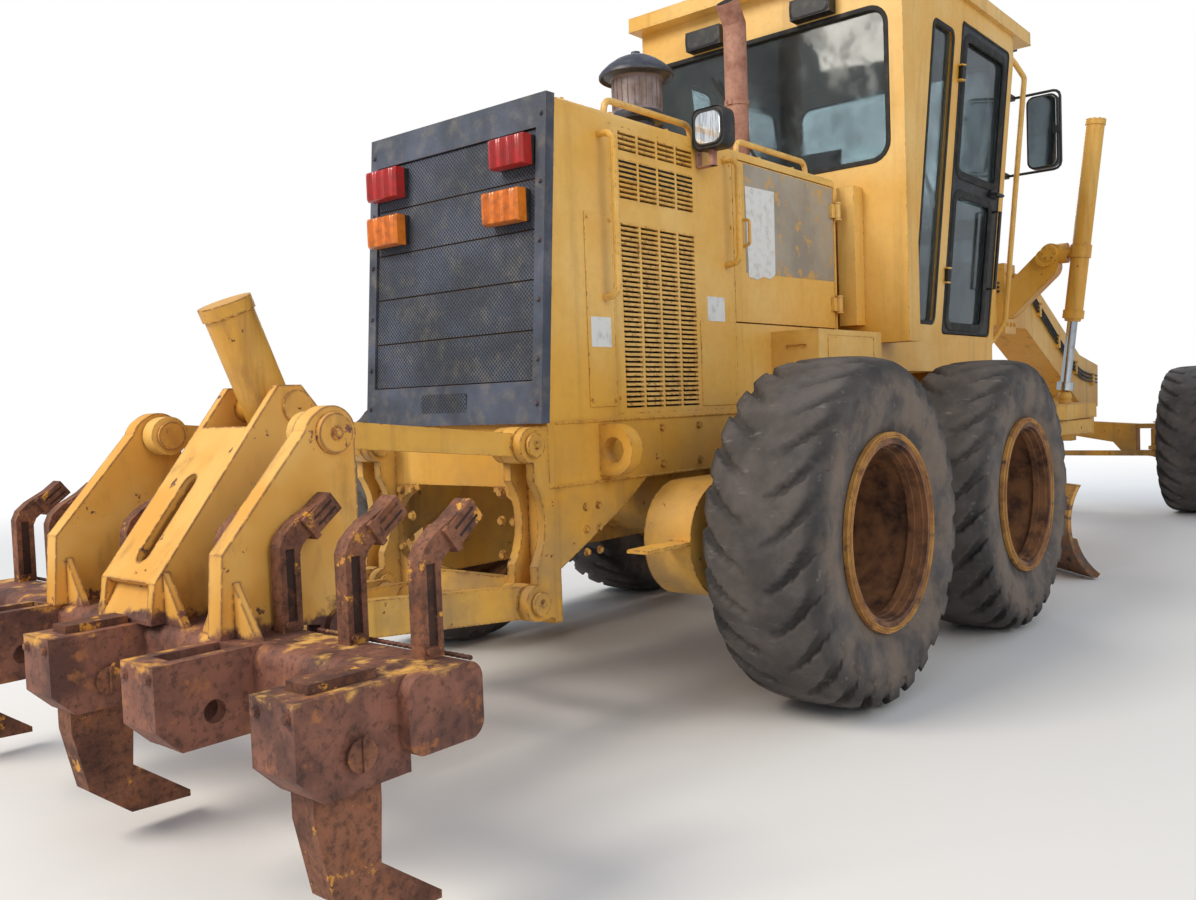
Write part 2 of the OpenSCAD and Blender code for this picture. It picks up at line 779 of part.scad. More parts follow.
// Knuckle and leaf on the door
module hinge_knuckle(h) {
  difference() {
    union() {
      translate([0, 0, 2]) cylinder(r = 16, h = h - 4);
      translate([0, 4, 2]) cube([50, 12, h - 4]);
      translate([20, 4, 2]) cube([30, hinge_out - 4, h - 4]);
    }
    translate([0, 0, -1]) cylinder(r = hinge_r + pin_gap, h = h + 2);
  }
}

module hood_door() {
  block(hdoor_rear, hdoor_front, hood_half - hood_t, hood_half, hdoor_foot, panel_top);
  door_hinges(hdoor_front, hood_half, hdoor_foot, panel_top - hdoor_foot, 0, 180) hinge_knuckle(70);
  bar([[-420, hood_half, 1790], [-420, hood_half + 40, 1790],
       [-420, hood_half + 40, 1900], [-420, hood_half, 1900]], 7, [1, 0, 0], 16);
}

// A door's panes: rear edge, foot, width, height and corner, from the opening's lower rear corner
upper_glass = [60, 890, door_w - 130, door_h - 945, 60];
lower_glass = [60, 60, door_w - 190, 730, 60];
module cab_door(side) {
  color(yellow) on_side(side) {
    difference() {
      side_panel(door_rear + door_gap, 14 + door_gap, door_w - 2 * door_gap, door_h - 2 * door_gap, 26, 0, cab_t);
      for (g = [upper_glass, lower_glass])
        side_panel(door_rear + g[0], g[1], g[2], g[3], g[4], -10, cab_t + 10);
    }
    door_hinge_frame(door_rear, 300) hinge_knuckle(70);
    translate([door_rear + 560, -20, 828]) cube([120, 22, 34]);
  }
}

module door_glass(side) {
  mid = (cab_t - pane_t) / 2;
  color(glass_green, 0.4) on_side(side) for (g = [upper_glass, lower_glass])
    side_panel(door_rear + g[0] + pane_gap, g[1] + pane_gap, g[2] - 2 * pane_gap, g[3] - 2 * pane_gap,
               g[4], mid, mid + pane_t);
}

// Mirrors, each on a bent tube clamped to the front of the cab
module mirrors() {
  tube_x = 2282;
  out = 1012;
  low = [694, 2430];
  high = [737, 2890];
  color(black) both_sides() {
    plate_x(2275, 2315) translate([820, 2445]) round_square([180, 430], 45);
    block(tube_x - 12, tube_x + 14, 970, out, 2640, 2680);
    bar([[tube_x, low[0], low[1]], [tube_x, out, low[1]], [tube_x, out, high[1]], [tube_x, high[0], high[1]]],
        8, [1, 0, 0]);
    for (end = [low, high]) block(cab_front, tube_x + 14, end[0] - 14, end[0] + 14, end[1] - 14, end[1] + 14);
  }
}

module work_lamps() {
  color(black) both_sides() {
    block(-760, -700, 480, 590, 2170, 2290);
    block(-745, -715, hood_half, 485, 2140, 2200);
    block(520, cab_rear, 210, 430, 3040, 3140);
    block(2445, 2510, 560, 700, cab_roof, cab_roof + 100);
  }
}

// Ripper
module link_eyes(pins) {
  for (p = pins) rod_y(p[0], p[1], eye_r, link_in, link_out);
}

module link_bores(pins) {
  for (p = pins) rod_y(p[0], p[1], ripper_pin_r + pin_gap, link_in - 1, link_out + 1);
}

module ripper_upper_links() {
  pins = [[bracket_pin_x, bracket_high_z], [carriage_pin_x, carriage_high_z]];
  color(yellow) both_sides() difference() {
    union() {
      link_eyes(pins);
      plate_y(link_in + 4, link_out - 4) link2d(pins[0], pins[1], 76);
    }
    link_bores(pins);
  }
}

module ripper_lower_link() {
  pins = [[bracket_pin_x, bracket_low_z], [carriage_pin_x, carriage_low_z]];
  color(yellow) {
    both_sides() {
      difference() {
        union() {
          link_eyes(pins);
          plate_y(link_in + 4, link_out - 4) link2d(pins[0], pins[1], 110);
        }
        link_bores(pins);
      }
      plate_y(45, 75) link2d(rod_eye, [-2010, rod_eye[1]], 112);
      rod_y(rod_eye[0], rod_eye[1], 30, 75, 90);
    }
    rod_y(-2010, 503, 44, -link_in - 20, link_in + 20);
  }
}

arm_in = 435;
arm_out = 495;

// The slotted face plate between the trunnion's two arms, along their rear edge
face_foot = [-2930, 700];
face_lean = 37.7;
face_l = 520;
module ripper_carriage() {
  color(yellow) {
    both_sides() {
      plate_y(arm_in, arm_out) {
        link2d([carriage_pin_x, carriage_high_z], [carriage_pin_x - 15, carriage_high_z - 10], 150);
        polygon([
          [carriage_pin_x + 70, carriage_high_z - 10], [carriage_pin_x - 70, carriage_high_z + 30],
          [-2930, 800], [-2945, 590], [carriage_pin_x - 140, 590],
          [carriage_pin_x - 70, carriage_low_z + 20], [carriage_pin_x + 70, carriage_low_z + 20]
        ]);
        translate([carriage_pin_x, carriage_low_z]) circle(r = 72);
      }
      for (z = [carriage_low_z, carriage_high_z]) {
        rod_y(carriage_pin_x, z, ripper_pin_r, link_in - 4, arm_in + 4);
        rod_y(carriage_pin_x, z, ripper_pin_r + 15, link_in - 16, link_in - 4);
      }
      plate_y(trunnion_in, trunnion_out) difference() {
        polygon([
          [-2385, 1165], [-2440, 1230], [-2520, 1230], [-2930, 700], [-2945, 590], [-2700, 590], [-2560, 760]
        ]);
        translate(trunnion) circle(r = trunnion_r + pin_gap);
      }
    }
    plate_y(-trunnion_in, trunnion_in) polygon([[-2868, 690], [-2890, 700], [-2945, 600], [-2945, 590], [-2925, 590]]);
    translate([face_foot[0], 0, face_foot[1]]) rotate([0, face_lean, 0]) plate_x(0, 22) difference() {
      translate([-trunnion_in - 1, 0]) square([2 * trunnion_in + 2, face_l]);
      link2d([0, 90], [0, 320], 64);
    }
    both_sides() for (y = [[trunnion_out, 1], [arm_in, -1], [arm_out, 1]])
      plate_x(-2905, -2885) polygon([[y[0] - y[1], 588], [y[0] + y[1] * 100, 588], [y[0] - y[1], 730]]);
  }
  color(rust) {
    difference() {
      plate_y(-ripper_half, ripper_half) round_beam();
      for (i = [-2:2]) translate([0, i * pocket_pitch, 0]) pocket_hole();
    }
    for (i = [-2:2]) translate([0, i * pocket_pitch, 0]) difference() {
      plate_y(-pocket_w / 2, pocket_w / 2) polygon([
        [-2900, pocket_top], [pocket_rear_x, pocket_top], [pocket_rear_x, pocket_foot + 60],
        [pocket_rear_x + 60, pocket_foot], [-2900, pocket_foot]
      ]);
      pocket_hole();
      rod_y(pocket_pin_x - 60, pocket_pin_z, 28, -pocket_w, pocket_w);
    }
  }
}

module round_beam() {
  translate([-2930, 420]) round_square([210, 170], 40);
}

module pocket_hole() {
  block(-3120, -2950, -shank_t / 2 - 2, shank_t / 2 + 2, 300, 700);
}

module ripper_teeth() {
  color(rust) {
    for (y = [-2, 0, 2] * pocket_pitch) translate([0, y, 0]) {
      plate_y(-shank_t / 2, shank_t / 2) polygon([
        [-3118, 610], [-2952, 610], [-2952, 330], [-2960, 200], [-2800, 80], [-2800, 62],
        [-2970, 70], [-3080, 160], [-3118, 330]
      ]);
      rod_y(pocket_pin_x - 60, pocket_pin_z, 27.7, -pocket_w / 2 - 14, pocket_w / 2 + 14);
    }
    for (i = [-4:4]) translate([0, i * tooth_pitch, 0]) difference() {
      plate_y(-22, 22) polygon([
        [-2806, pocket_top], [-2748, pocket_top], [-2748, 786], [-2738, 808], [-2655, 876], [-2642, 915],
        [-2672, 915], [-2760, 866], [-2792, 838], [-2806, 806]
      ]);
      for (y = [-23, 16]) block(-2790, -2764, y, y + 7, pocket_top + 24, 800);
    }
  }
}

module at_trunnion() {
  translate([trunnion[0], 0, trunnion[1]]) rotate([0, -ripper_lean, 0]) children();
}

ripper_barrel_down = 330;
module ripper_barrel() {
  color(yellow) at_trunnion() {
    barrel(345, ripper_barrel_down, 75, 35);
    both_sides() rod_y(0, 0, trunnion_r, 70, trunnion_out);
  }
}

module ripper_rod() {
  color(chrome_grey) at_trunnion() difference() {
    union() {
      translate([0, 0, -ripper_run]) cylinder(r = 35, h = ripper_run + 45);
      rod_y(0, -ripper_run, 52, -40, 40);
    }
    rod_y(0, -ripper_run, 30, -41, 41);
  }
}

// Front frame
module front_frame() {
  hub_z0 = 740 + side_gap;
  hub_z1 = rail_z + rail_h - side_gap;
  color(yellow) difference() {
    union() {
      translate([hitch_x, 0, hub_z0]) cylinder(r = 105, h = hub_z1 - hub_z0);
      block(hitch_x, hitch_x + 470, -beam_half, beam_half, hub_z0, hub_z1);
      plate_y(-beam_half, beam_half) polygon([
        [hitch_x + 400, hub_z0 - 20], [hitch_x + 610, hub_z0 - 20], [hitch_x + 950, beam_z],
        [circle_x + 560, beam_z], [wheelbase - 336, 1000], [wheelbase + 294, 940], [wheelbase + 314, 1330],
        [wheelbase - 286, 1420], [circle_x + 680, beam_z + beam_h], [hitch_x + 1030, beam_z + beam_h],
        [hitch_x + 570, 1210], [hitch_x + 400, hub_z1]
      ]);
      block(ball_x, ball_x + 150, -120, 120, ball_z - 110, 1060);
      block(wheelbase - 120, wheelbase + 120, -130, 130, 810, 960);
    }
    translate([hitch_x, 0, hub_z0 - 1]) cylinder(r = hitch_pin_r + pin_gap, h = hub_z1 - hub_z0 + 2);
    block(hitch_x, hitch_x + 170, -200, -106, hub_z0 - 1, hub_z1 + 1);
    block(hitch_x, hitch_x + 170, 106, 200, hub_z0 - 1, hub_z1 + 1);
    translate([ball_x, 0, ball_z]) sphere(r = ball_r + 0.5);
  }
}

module lift_saddle() {
  color(yellow) {
    both_sides() {
      block(lift_pivot[0] - 120, lift_pivot[0] + 120, beam_half, beam_half + 60, beam_z - 60,
            beam_z + beam_h + 40);
      difference() {
        union() {
          plate_x(lift_pivot[0] - 60, lift_pivot[0] + 60) {
            link2d([beam_half + 40, 1760], [480, 2020], 200);
            link2d([480, 2020], [530, lift_pivot[2]], 150);
          }
          rod_y(lift_pivot[0], lift_pivot[2], 72, 500, lift_pivot[1] - lift_collar_r - 14);
          rod_x(500, lift_pivot[2] - 30, 62, lift_pivot[0] - 110, lift_pivot[0] - 50);
        }
        block(lift_pivot[0] - 160, lift_pivot[0] + 140, -beam_half, beam_half, 1400, 2200);
        rod_y(lift_pivot[0], lift_pivot[2], lift_pin_r + pin_gap, 460, 800);
      }
    }
    block(lift_pivot[0] - 120, lift_pivot[0] + 120, -beam_half - 60, beam_half + 60, beam_z + beam_h,
          beam_z + beam_h + 40);
  }
}

module at_lift(side) {
  mirror([0, side < 0 ? 1 : 0, 0]) translate(lift_pivot) rotate([-lift_lean, 0, 0]) children();
}

lift_barrel_down = 480;
lift_collar_r = lift_barrel_r + 10;
lift_rod_in = 430;
module lift_barrel(side) {
  color(yellow) {
    at_lift(side) barrel(lift_top, lift_barrel_down, lift_barrel_r, lift_rod_r);
    at_lift(side) difference() {
      translate([0, 0, -45]) cylinder(r = lift_collar_r, h = 90);
      translate([0, 0, -46]) cylinder(r = lift_barrel_r - 5, h = 92);
    }
    mirror([0, side < 0 ? 1 : 0, 0]) difference() {
      rod_y(lift_pivot[0], lift_pivot[2], lift_pin_r, 500, lift_pivot[1]);
      translate(lift_pivot) rotate([-lift_lean, 0, 0])
        translate([0, 0, -100]) cylinder(r = lift_barrel_r - 5, h = 200);
    }
  }
}

module lift_rod(side) {
  color(chrome_grey) at_lift(side) {
    translate([0, 0, -lift_run]) cylinder(r = lift_rod_r, h = lift_run + lift_rod_in);
    translate([0, 0, -lift_run]) cylinder(r = 58, h = 58);
  }
}

// Drawbar, with the housing of the circle's drive on its deck and the pinion's guard below
drive_r = 70;
drive_x = circle_x + circle_in_r - drive_r - 2 * side_gap;
module drawbar() {
  color(yellow) {
    translate([0, 0, drawbar_z]) linear_extrude(drawbar_t) difference() {
      polygon([
        [ball_x - 550, -75], [ball_x - 550, 75],
        for (p = [[600, 400], [380, 720], [-380, 720], [-590, 400]]) [circle_x + p[0], p[1]],
        for (p = [[-590, 400], [-380, 720], [380, 720], [600, 400]]) [circle_x + p[0], -p[1]]
      ]);
      polygon([
        for (p = [[1140, 0], [780, 130], [690, 130], [690, -130], [780, -130]]) [circle_x + p[0], p[1]]
      ]);
    }
    plate_y(-75, 75) polygon([
      [ball_x - 530, drawbar_z], [ball_x - 530, drawbar_z + drawbar_t], [ball_x - 750, drawbar_z + drawbar_t],
      [ball_x - 750, drawbar_z], [ball_x - 590, drawbar_z - 20], [ball_x - 90, ball_z - 45],
      [ball_x - 50, ball_z - 45], [ball_x - 50, ball_z + 45]
    ]);
    translate([ball_x, 0, ball_z]) sphere(r = ball_r);
    translate([drive_x, 0, drawbar_z + drawbar_t - 1]) {
      cylinder(r = 160, h = 36);
      cylinder(r = 130, h = 96);
      cylinder(r = 70, h = 176);
      for (a = [30:60:330]) rotate(a) translate([0, -8, 0]) cube([148, 16, 70]);
    }
    translate([drive_x, 0, circle_z + 20]) cylinder(r = drive_r, h = drawbar_z - circle_z - 19);
    both_sides() {
      translate([lift_end[0], lift_end[1], drawbar_z + drawbar_t])
        cylinder(r = 42, h = lift_end[2] - drawbar_z - drawbar_t - stud_r);
      translate([lift_end[0], lift_end[1], lift_end[2] - (stud_r + seat_gap) / cos(lift_lean)])
        sphere(r = stud_r);
    }
    for (a = [shoe_angle, 180 - shoe_angle, 180 + shoe_angle, -shoe_angle])
      translate([circle_x, 0, 0]) rotate(a) {
        block(circle_r - 40, circle_r + 60, -70, 70, drawbar_z, drawbar_z + 40);
        block(circle_r + side_gap, circle_r + 60, -70, 70, circle_z - 26, drawbar_z + 1);
        block(circle_r - 40, circle_r + 60, -70, 70, circle_z - 26, circle_z - seat_gap);
      }
  }
}

// The blade's own frame, about the middle of the circle
module blade_frame() {
  translate([circle_x, 0, 0]) rotate([0, 0, blade_angle]) children();
}

// The opening inside the circle, with its teeth standing inwards
circle_tooth_count = 60;
circle_tooth_d = 32;
module circle_teeth() {
  step = 360 / circle_tooth_count;
  polygon([
    for (i = [0:circle_tooth_count - 1], k = [[0.12, 1], [0.38, 1], [0.56, 0], [0.94, 0]])
      let (r = circle_in_r + k[1] * circle_tooth_d, a = (i + k[0]) * step) [r * cos(a), r * sin(a)]
  ]);
}

module circle_ring() {
  color(yellow) blade_frame() {
    translate([0, 0, circle_z]) difference() {
      cylinder(r = circle_r, h = circle_t, $fn = 128);
      translate([0, 0, -1]) linear_extrude(circle_t + 2) circle_teeth();
    }
    both_sides() {
      plate_y(arm_y - arm_t / 2, arm_y + arm_t / 2) {
        polygon([
          [-470, circle_z], [-350, circle_z], [-500, 660], [-500, 330], [tip_pin[0] + 62, 240],
          [tip_pin[0] + 62, tip_pin[1]], [tip_pin[0] - 62, tip_pin[1]], [-600, 400], [-565, 740], [-470, 766]
        ]);
        translate(tip_pin) circle(r = 62);
      }
      rod_y(tip_pin[0], tip_pin[1], tip_pin_r, arm_y - arm_t / 2 - side_gap - 50, arm_y + arm_t / 2 + 10);
    }
  }
}

carrier_out = arm_y - arm_t / 2 - side_gap;
carrier_in = carrier_out - 40;
module blade_carrier() {
  rail_x = back_x - slide_d;
  color(yellow) blade_frame() {
    both_sides() difference() {
      plate_y(carrier_in, carrier_out) difference() {
        union() {
          translate(tip_pin) circle(r = 60);
          polygon([
            [-575, 150], [-540, 110], [-380, 110], [-300, 150], [-300, 620], [-400, 640], [-470, 560], [-500, 400]
          ]);
        }
        translate(blade_c) circle(r = blade_curve_r + blade_t + side_gap, $fn = 128);
        translate(tip_pin) circle(r = tip_pin_r + pin_gap);
        translate([shift_x, shift_z]) circle(r = shift_r + seat_gap);
      }
      for (z = [slide_low, slide_high])
        block(rail_x - seat_gap, back_x + 120, carrier_in - 1, carrier_out + 1, z - seat_gap, z + slide_h + seat_gap);
    }
    rod_y(rail_x - 46, 470, 35, -carrier_in - 4, carrier_in + 4);
  }
}

// Moldboard, drawn at its parked shift
module moldboard() {
  color(yellow) blade_frame() translate([0, -blade_shift, 0]) {
    plate_y(-blade_l / 2, blade_l / 2) difference() {
      translate(blade_c) circle(r = blade_curve_r + blade_t, $fn = 128);
      translate(blade_c) circle(r = blade_curve_r, $fn = 128);
      translate([blade_c[0], -600]) square([1200, 2000]);
      translate([edge_x - 600, blade_top]) square([1200, 600]);
      translate([edge_x - 600, blade_ground_gap - 600]) square([1200, 600]);
    }
    difference() {
      union() {
        for (z = [slide_low, slide_high])
          block(back_x - slide_d, back_x + 60, -slide_half, slide_half, z, z + slide_h);
        block(shift_x - 40, back_x + 90, rod_lug_y + blade_shift - 15, rod_lug_y + blade_shift + 15,
              shift_z - 45, shift_z + 45);
      }
      rod_y(blade_c[0], blade_c[1], blade_curve_r + 4, -slide_half - 200, slide_half + 200);
    }
  }
}

// Side shift cylinder: its barrel on the carrier, its rod's end on the moldboard's lug
rod_lug_y = 1280;
barrel_y0 = -497;
barrel_y1 = 800;
shift_rod_r = 28;
shift_rod_l = 1270;
module shift_barrel() {
  color(yellow) blade_frame() difference() {
    rod_y(shift_x, shift_z, shift_r, barrel_y0, barrel_y1);
    rod_y(shift_x, shift_z, shift_rod_r + rod_gap, barrel_y0 + 30, barrel_y1 + 1);
  }
}

module shift_rod() {
  color(chrome_grey) blade_frame()
    rod_y(shift_x, shift_z, shift_rod_r, rod_lug_y - 15 - shift_rod_l, rod_lug_y - 15);
}

// Front axle and steering
module front_axle() {
  color(yellow) {
    both_sides() {
      plate_x(wheelbase - 80, wheelbase + 80)
        polygon([
          [0, 690], [0, 810], [130, 810], [king_y - king_arm, 780],
          [king_y - king_arm, 500], [king_y - king_arm - 90, 500], [king_y - king_arm - 190, 620]
        ]);
      for (z = [500, 740])
        translate([wheelbase, 0, z]) linear_extrude(40) link2d([0, king_y - king_arm], [0, king_y], 130);
      translate([wheelbase, king_y, 490]) cylinder(r = king_pin_r, h = 300);
    }
  }
}

module knuckle() {
  color(yellow) difference() {
    union() {
      translate([wheelbase, king_y, 545]) cylinder(r = 64, h = 190);
      rod_y(wheelbase, axle_z, 90, king_y + 20, front_track_half - disc_in - disc_t + 78);
      translate([0, 0, tie_z]) linear_extrude(30) link2d([wheelbase, king_y], [wheelbase - tie_x, tie_y], 80);
      translate([wheelbase - tie_x, tie_y, tie_z - 60]) cylinder(r = tie_pin_r, h = 70);
    }
    translate([wheelbase, king_y, 500]) cylinder(r = king_pin_r + pin_gap, h = 300);
  }
}

module tie_rod() {
  color(yellow) difference() {
    union() {
      rod_y(wheelbase - tie_x, tie_z - 32, 24, -tie_y, tie_y);
      both_sides() translate([wheelbase - tie_x, tie_y, tie_z - 57]) cylinder(r = 36, h = 50);
    }
    both_sides() translate([wheelbase - tie_x, tie_y, tie_z - 80]) cylinder(r = tie_pin_r + pin_gap, h = 100);
  }
}

module in_place() {
  translate([-centre_x, -centre_y, 0]) children();
}

module tyre_at(x, side, track) {
  in_place() wheel_place(x, side, track) tyre();
}

module rim_at(x, side, track) {
  in_place() wheel_place(x, side, track) rim();
}

in_place() rear_frame();
in_place() ripper_bracket();
in_place() tandem_cases();
in_place() engine();
in_place() hood();
in_place() louvre_panels();
in_place() rear_grille();
in_place() tail_lamps();
in_place() exhaust_stack();
in_place() precleaner();
in_place() grab_rails();
in_place() toolboxes();
in_place() cab_shell();
in_place() cab_glass();
in_place() seat();
in_place() console();
in_place() mirrors();
in_place() work_lamps();
in_place() mirror([0, 1, 0]) color(yellow) hood_door();  // hood_door_right
in_place() color(yellow) hood_door();  // hood_door_left
in_place() cab_door(-1);  // cab_door_right
in_place() cab_door(1);  // cab_door_left
in_place() door_glass(-1);  // door_glass_right
in_place() door_glass(1);  // door_glass_left
tyre_at(rear_axle_x, -1, rear_track_half);  // tyre_rear_right
tyre_at(rear_axle_x, 1, rear_track_half);  // tyre_rear_left
tyre_at(mid_axle_x, -1, rear_track_half);  // tyre_mid_right
tyre_at(mid_axle_x, 1, rear_track_half);  // tyre_mid_left
rim_at(rear_axle_x, -1, rear_track_half);  // rim_rear_right
rim_at(rear_axle_x, 1, rear_track_half);  // rim_rear_left
rim_at(mid_axle_x, -1, rear_track_half);  // rim_mid_right
rim_at(mid_axle_x, 1, rear_track_half);  // rim_mid_left
in_place() ripper_lower_link();
in_place() ripper_upper_links();
in_place() ripper_carriage();
in_place() ripper_teeth();
in_place() ripper_barrel();
in_place() ripper_rod();
in_place() front_frame();
in_place() lift_saddle();
in_place() lift_barrel(-1);  // lift_barrel_right
in_place() lift_barrel(1);  // lift_barrel_left
in_place() lift_rod(-1);  // lift_rod_right
in_place() lift_rod(1);  // lift_rod_left
in_place() drawbar();
in_place() circle_ring();  // circle
in_place() blade_carrier();
in_place() moldboard();
in_place() shift_barrel();
in_place() shift_rod();
in_place() front_axle();
in_place() mirror([0, 1, 0]) knuckle();  // knuckle_right
in_place() knuckle();  // knuckle_left
in_place() tie_rod();
tyre_at(wheelbase, -1, front_track_half);  // tyre_front_right
tyre_at(wheelbase, 1, front_track_half);  // tyre_front_left
rim_at(wheelbase, -1, front_track_half);  // rim_front_right
rim_at(wheelbase, 1, front_track_half);  // rim_front_left
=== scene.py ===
import math
import random
from itertools import product

import bmesh
import bpy
from mathutils import Matrix, Vector


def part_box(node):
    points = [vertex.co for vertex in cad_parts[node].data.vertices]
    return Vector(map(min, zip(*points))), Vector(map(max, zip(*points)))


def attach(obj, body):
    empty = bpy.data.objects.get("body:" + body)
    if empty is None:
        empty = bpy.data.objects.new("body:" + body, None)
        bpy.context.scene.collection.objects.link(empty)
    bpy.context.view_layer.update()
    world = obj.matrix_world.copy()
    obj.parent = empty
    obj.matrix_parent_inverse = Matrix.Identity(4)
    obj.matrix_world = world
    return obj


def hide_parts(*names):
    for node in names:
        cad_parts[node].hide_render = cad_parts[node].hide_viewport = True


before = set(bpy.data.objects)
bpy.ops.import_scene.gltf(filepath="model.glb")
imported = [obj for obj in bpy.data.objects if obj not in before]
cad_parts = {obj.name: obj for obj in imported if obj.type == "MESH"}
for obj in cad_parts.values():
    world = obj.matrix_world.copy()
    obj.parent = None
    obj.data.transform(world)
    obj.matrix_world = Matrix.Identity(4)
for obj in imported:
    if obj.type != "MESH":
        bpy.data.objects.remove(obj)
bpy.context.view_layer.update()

# Studio: the camera stands low behind the right rear wheel, where the photograph was taken.
# Sizes below are given from the point on the ground under the middle of the tandem axles,
# so at() moves them into the frame's own place. Side -1 is the right side and 1 the left.
frame_low, frame_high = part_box("rear_frame")
zero = Vector((frame_low.x + 1.700, (frame_low.y + frame_high.y) / 2, 0))
X, Y, Z = Vector((1, 0, 0)), Vector((0, 1, 0)), Vector((0, 0, 1))
words = {-1: "right", 1: "left"}
sides = tuple(words)


def at(x, y, z):
    return Vector((x, y, z)) + zero


film_width, focal_pixels, photo_pixels = 36, 1045.07, 1196
camera = bpy.data.objects.new("camera", bpy.data.cameras.new("camera"))
camera.location = at(-4.2992, -2.8475, 1.1391)
camera.rotation_euler = [math.radians(a) for a in (87.4715, 2.1122, -50.3586)]
camera.data.sensor_width = film_width
camera.data.lens = focal_pixels * film_width / photo_pixels
camera.data.clip_start = 0.05
camera.data.clip_end = 200
bpy.context.scene.collection.objects.link(camera)
bpy.context.scene.camera = camera
bpy.context.scene.view_settings.view_transform = "Standard"


def node(tree, kind, sockets=None, **settings):
    made = tree.nodes.new("ShaderNode" + kind)
    for key, value in settings.items():
        setattr(made, key, value)
    for key, value in (sockets or {}).items():
        if isinstance(value, bpy.types.NodeSocket):
            tree.links.new(value, made.inputs[key])
        else:
            made.inputs[key].default_value = value
    return made


world = bpy.data.worlds.new("studio")
world.use_nodes = True
bpy.context.scene.world = world
sky = world.node_tree
sky.nodes.clear()
ray = node(sky, "LightPath").outputs
seen = node(sky, "Math", {0: ray["Is Camera Ray"], 1: ray["Is Transmission Ray"]}, operation="MAXIMUM")
soft = node(sky, "Background", {"Color": (0.80, 0.88, 1.0, 1), "Strength": 0.62})
plain = node(sky, "Background", {"Color": (1, 1, 1, 1), "Strength": 1.0})
both = node(sky, "MixShader", {0: seen.outputs[0], 1: soft.outputs[0], 2: plain.outputs[0]})
node(sky, "OutputWorld", {"Surface": both.outputs[0]})

lamps = {
    "key": ((-9.5, 2.5, 8.5), 5.0, 1050, (1.0, 0.93, 0.82)),
    "side": ((-3.0, -10.0, 5.5), 6.0, 330, (1.0, 0.96, 0.90)),
    "front": ((11.0, 6.0, 7.0), 6.0, 700, (0.92, 0.96, 1.0)),
}
for name, (place, size, power, colour) in lamps.items():
    lamp = bpy.data.objects.new(name, bpy.data.lights.new(name, "AREA"))
    lamp.data.size = size
    lamp.data.energy = power
    lamp.data.color = colour
    lamp.location = at(*place)
    lamp.rotation_euler = (at(1.2, 0, 1.0) - lamp.location).to_track_quat("-Z", "Y").to_euler()
    bpy.context.scene.collection.objects.link(lamp)


def tone(code, alpha=1.0):
    """A screen colour written as #rrggbb, as the shader wants it."""
    parts = [int(code[i:i + 2], 16) / 255 for i in (1, 3, 5)]
    return tuple(p / 12.92 if p <= 0.04045 else ((p + 0.055) / 1.055) ** 2.4 for p in parts) + (alpha,)


class Finish:
    """A procedural material in the making. Its nodes give colours, or shares from 0 to 1."""

    def __init__(self, name, **sockets):
        self.material = bpy.data.materials.new(name)
        self.material.use_nodes = True
        self.tree = self.material.node_tree
        self.shader = self.tree.nodes["Principled BSDF"]
        for key, value in sockets.items():
            self.shader.inputs[key.replace("_", " ")].default_value = value

    def node(self, kind, sockets=None, **settings):
        return node(self.tree, kind, sockets, **settings)

    def feed(self, socket, value):
        self.tree.links.new(value, self.shader.inputs[socket])

    def place(self):
        """Where a point lies: its x, y and z in metres."""
        return self.node("SeparateXYZ", {0: self.node("TexCoord").outputs["Object"]}).outputs

    def length(self, *parts):
        flat = self.node("CombineXYZ", dict(enumerate(parts)))
        return self.node("VectorMath", {0: flat.outputs[0]}, operation="LENGTH").outputs["Value"]

    def cloud(self, scale, detail=5.0, stretch=(1, 1, 1), shift=0.0, rough=0.6):
        """Uneven noise, scale waves to the metre, drawn out along the small numbers of stretch."""
        where = self.node("TexCoord").outputs["Object"]
        moves = {"Vector": where, "Location": (shift, shift, shift), "Scale": stretch}
        moved = self.node("Mapping", moves).outputs[0]
        noise = {"Vector": moved, "Scale": scale, "Detail": detail, "Roughness": rough}
        return self.node("TexNoise", noise).outputs[0]

    def band(self, value, low, high, top=1.0):
        """0 below low, top above high, and a smooth step between them."""
        steps = {0: value, 1: low, 2: high, 3: 0.0, 4: top}
        return self.node("MapRange", steps, interpolation_type="SMOOTHSTEP").outputs[0]

    def patches(self, scale, detail, low, high, top=1.0, stretch=(1, 1, 1), shift=0.0, rough=0.6):
        """Patches with soft rims, where the cloud rises from low to high."""
        return self.band(self.cloud(scale, detail, stretch, shift, rough), low, high, top)

    def maths(self, operation, a, b):
        return self.node("Math", {0: a, 1: b}, operation=operation).outputs[0]

    def times(self, a, b):
        return self.maths("MULTIPLY", a, b)

    def most(self, a, b):
        return self.maths("MAXIMUM", a, b)

    def over(self, share, under, upper):
        """One colour laid over another, as far as share says."""
        under, upper = (tone(c) if isinstance(c, str) else c for c in (under, upper))
        return self.node("Mix", {0: share, 6: under, 7: upper}, data_type="RGBA").outputs[2]

    def worn_edges(self, reach):
        """1 along the convex and concave edges of a part, within reach metres of them."""
        rounded = self.node("Bevel", {"Radius": reach}, samples=4).outputs[0]
        flat = self.node("NewGeometry").outputs["Normal"]
        same = self.node("VectorMath", {0: rounded, 1: flat}, operation="DOT_PRODUCT")
        return self.band(same.outputs["Value"], 0.995, 0.93)

    def bump(self, strength, distance, skin):
        made = self.node("Bump", {"Strength": strength, "Distance": distance, "Height": skin})
        self.feed("Normal", made.outputs[0])


def mottled(name, under, upper, patch, **sockets):
    """A finish of one colour with patches of another."""
    m = Finish(name, **sockets)
    share = m.patches(*patch) if len(patch) > 2 else m.cloud(*patch)
    m.feed("Base Color", m.over(share, under, upper))
    return m.material


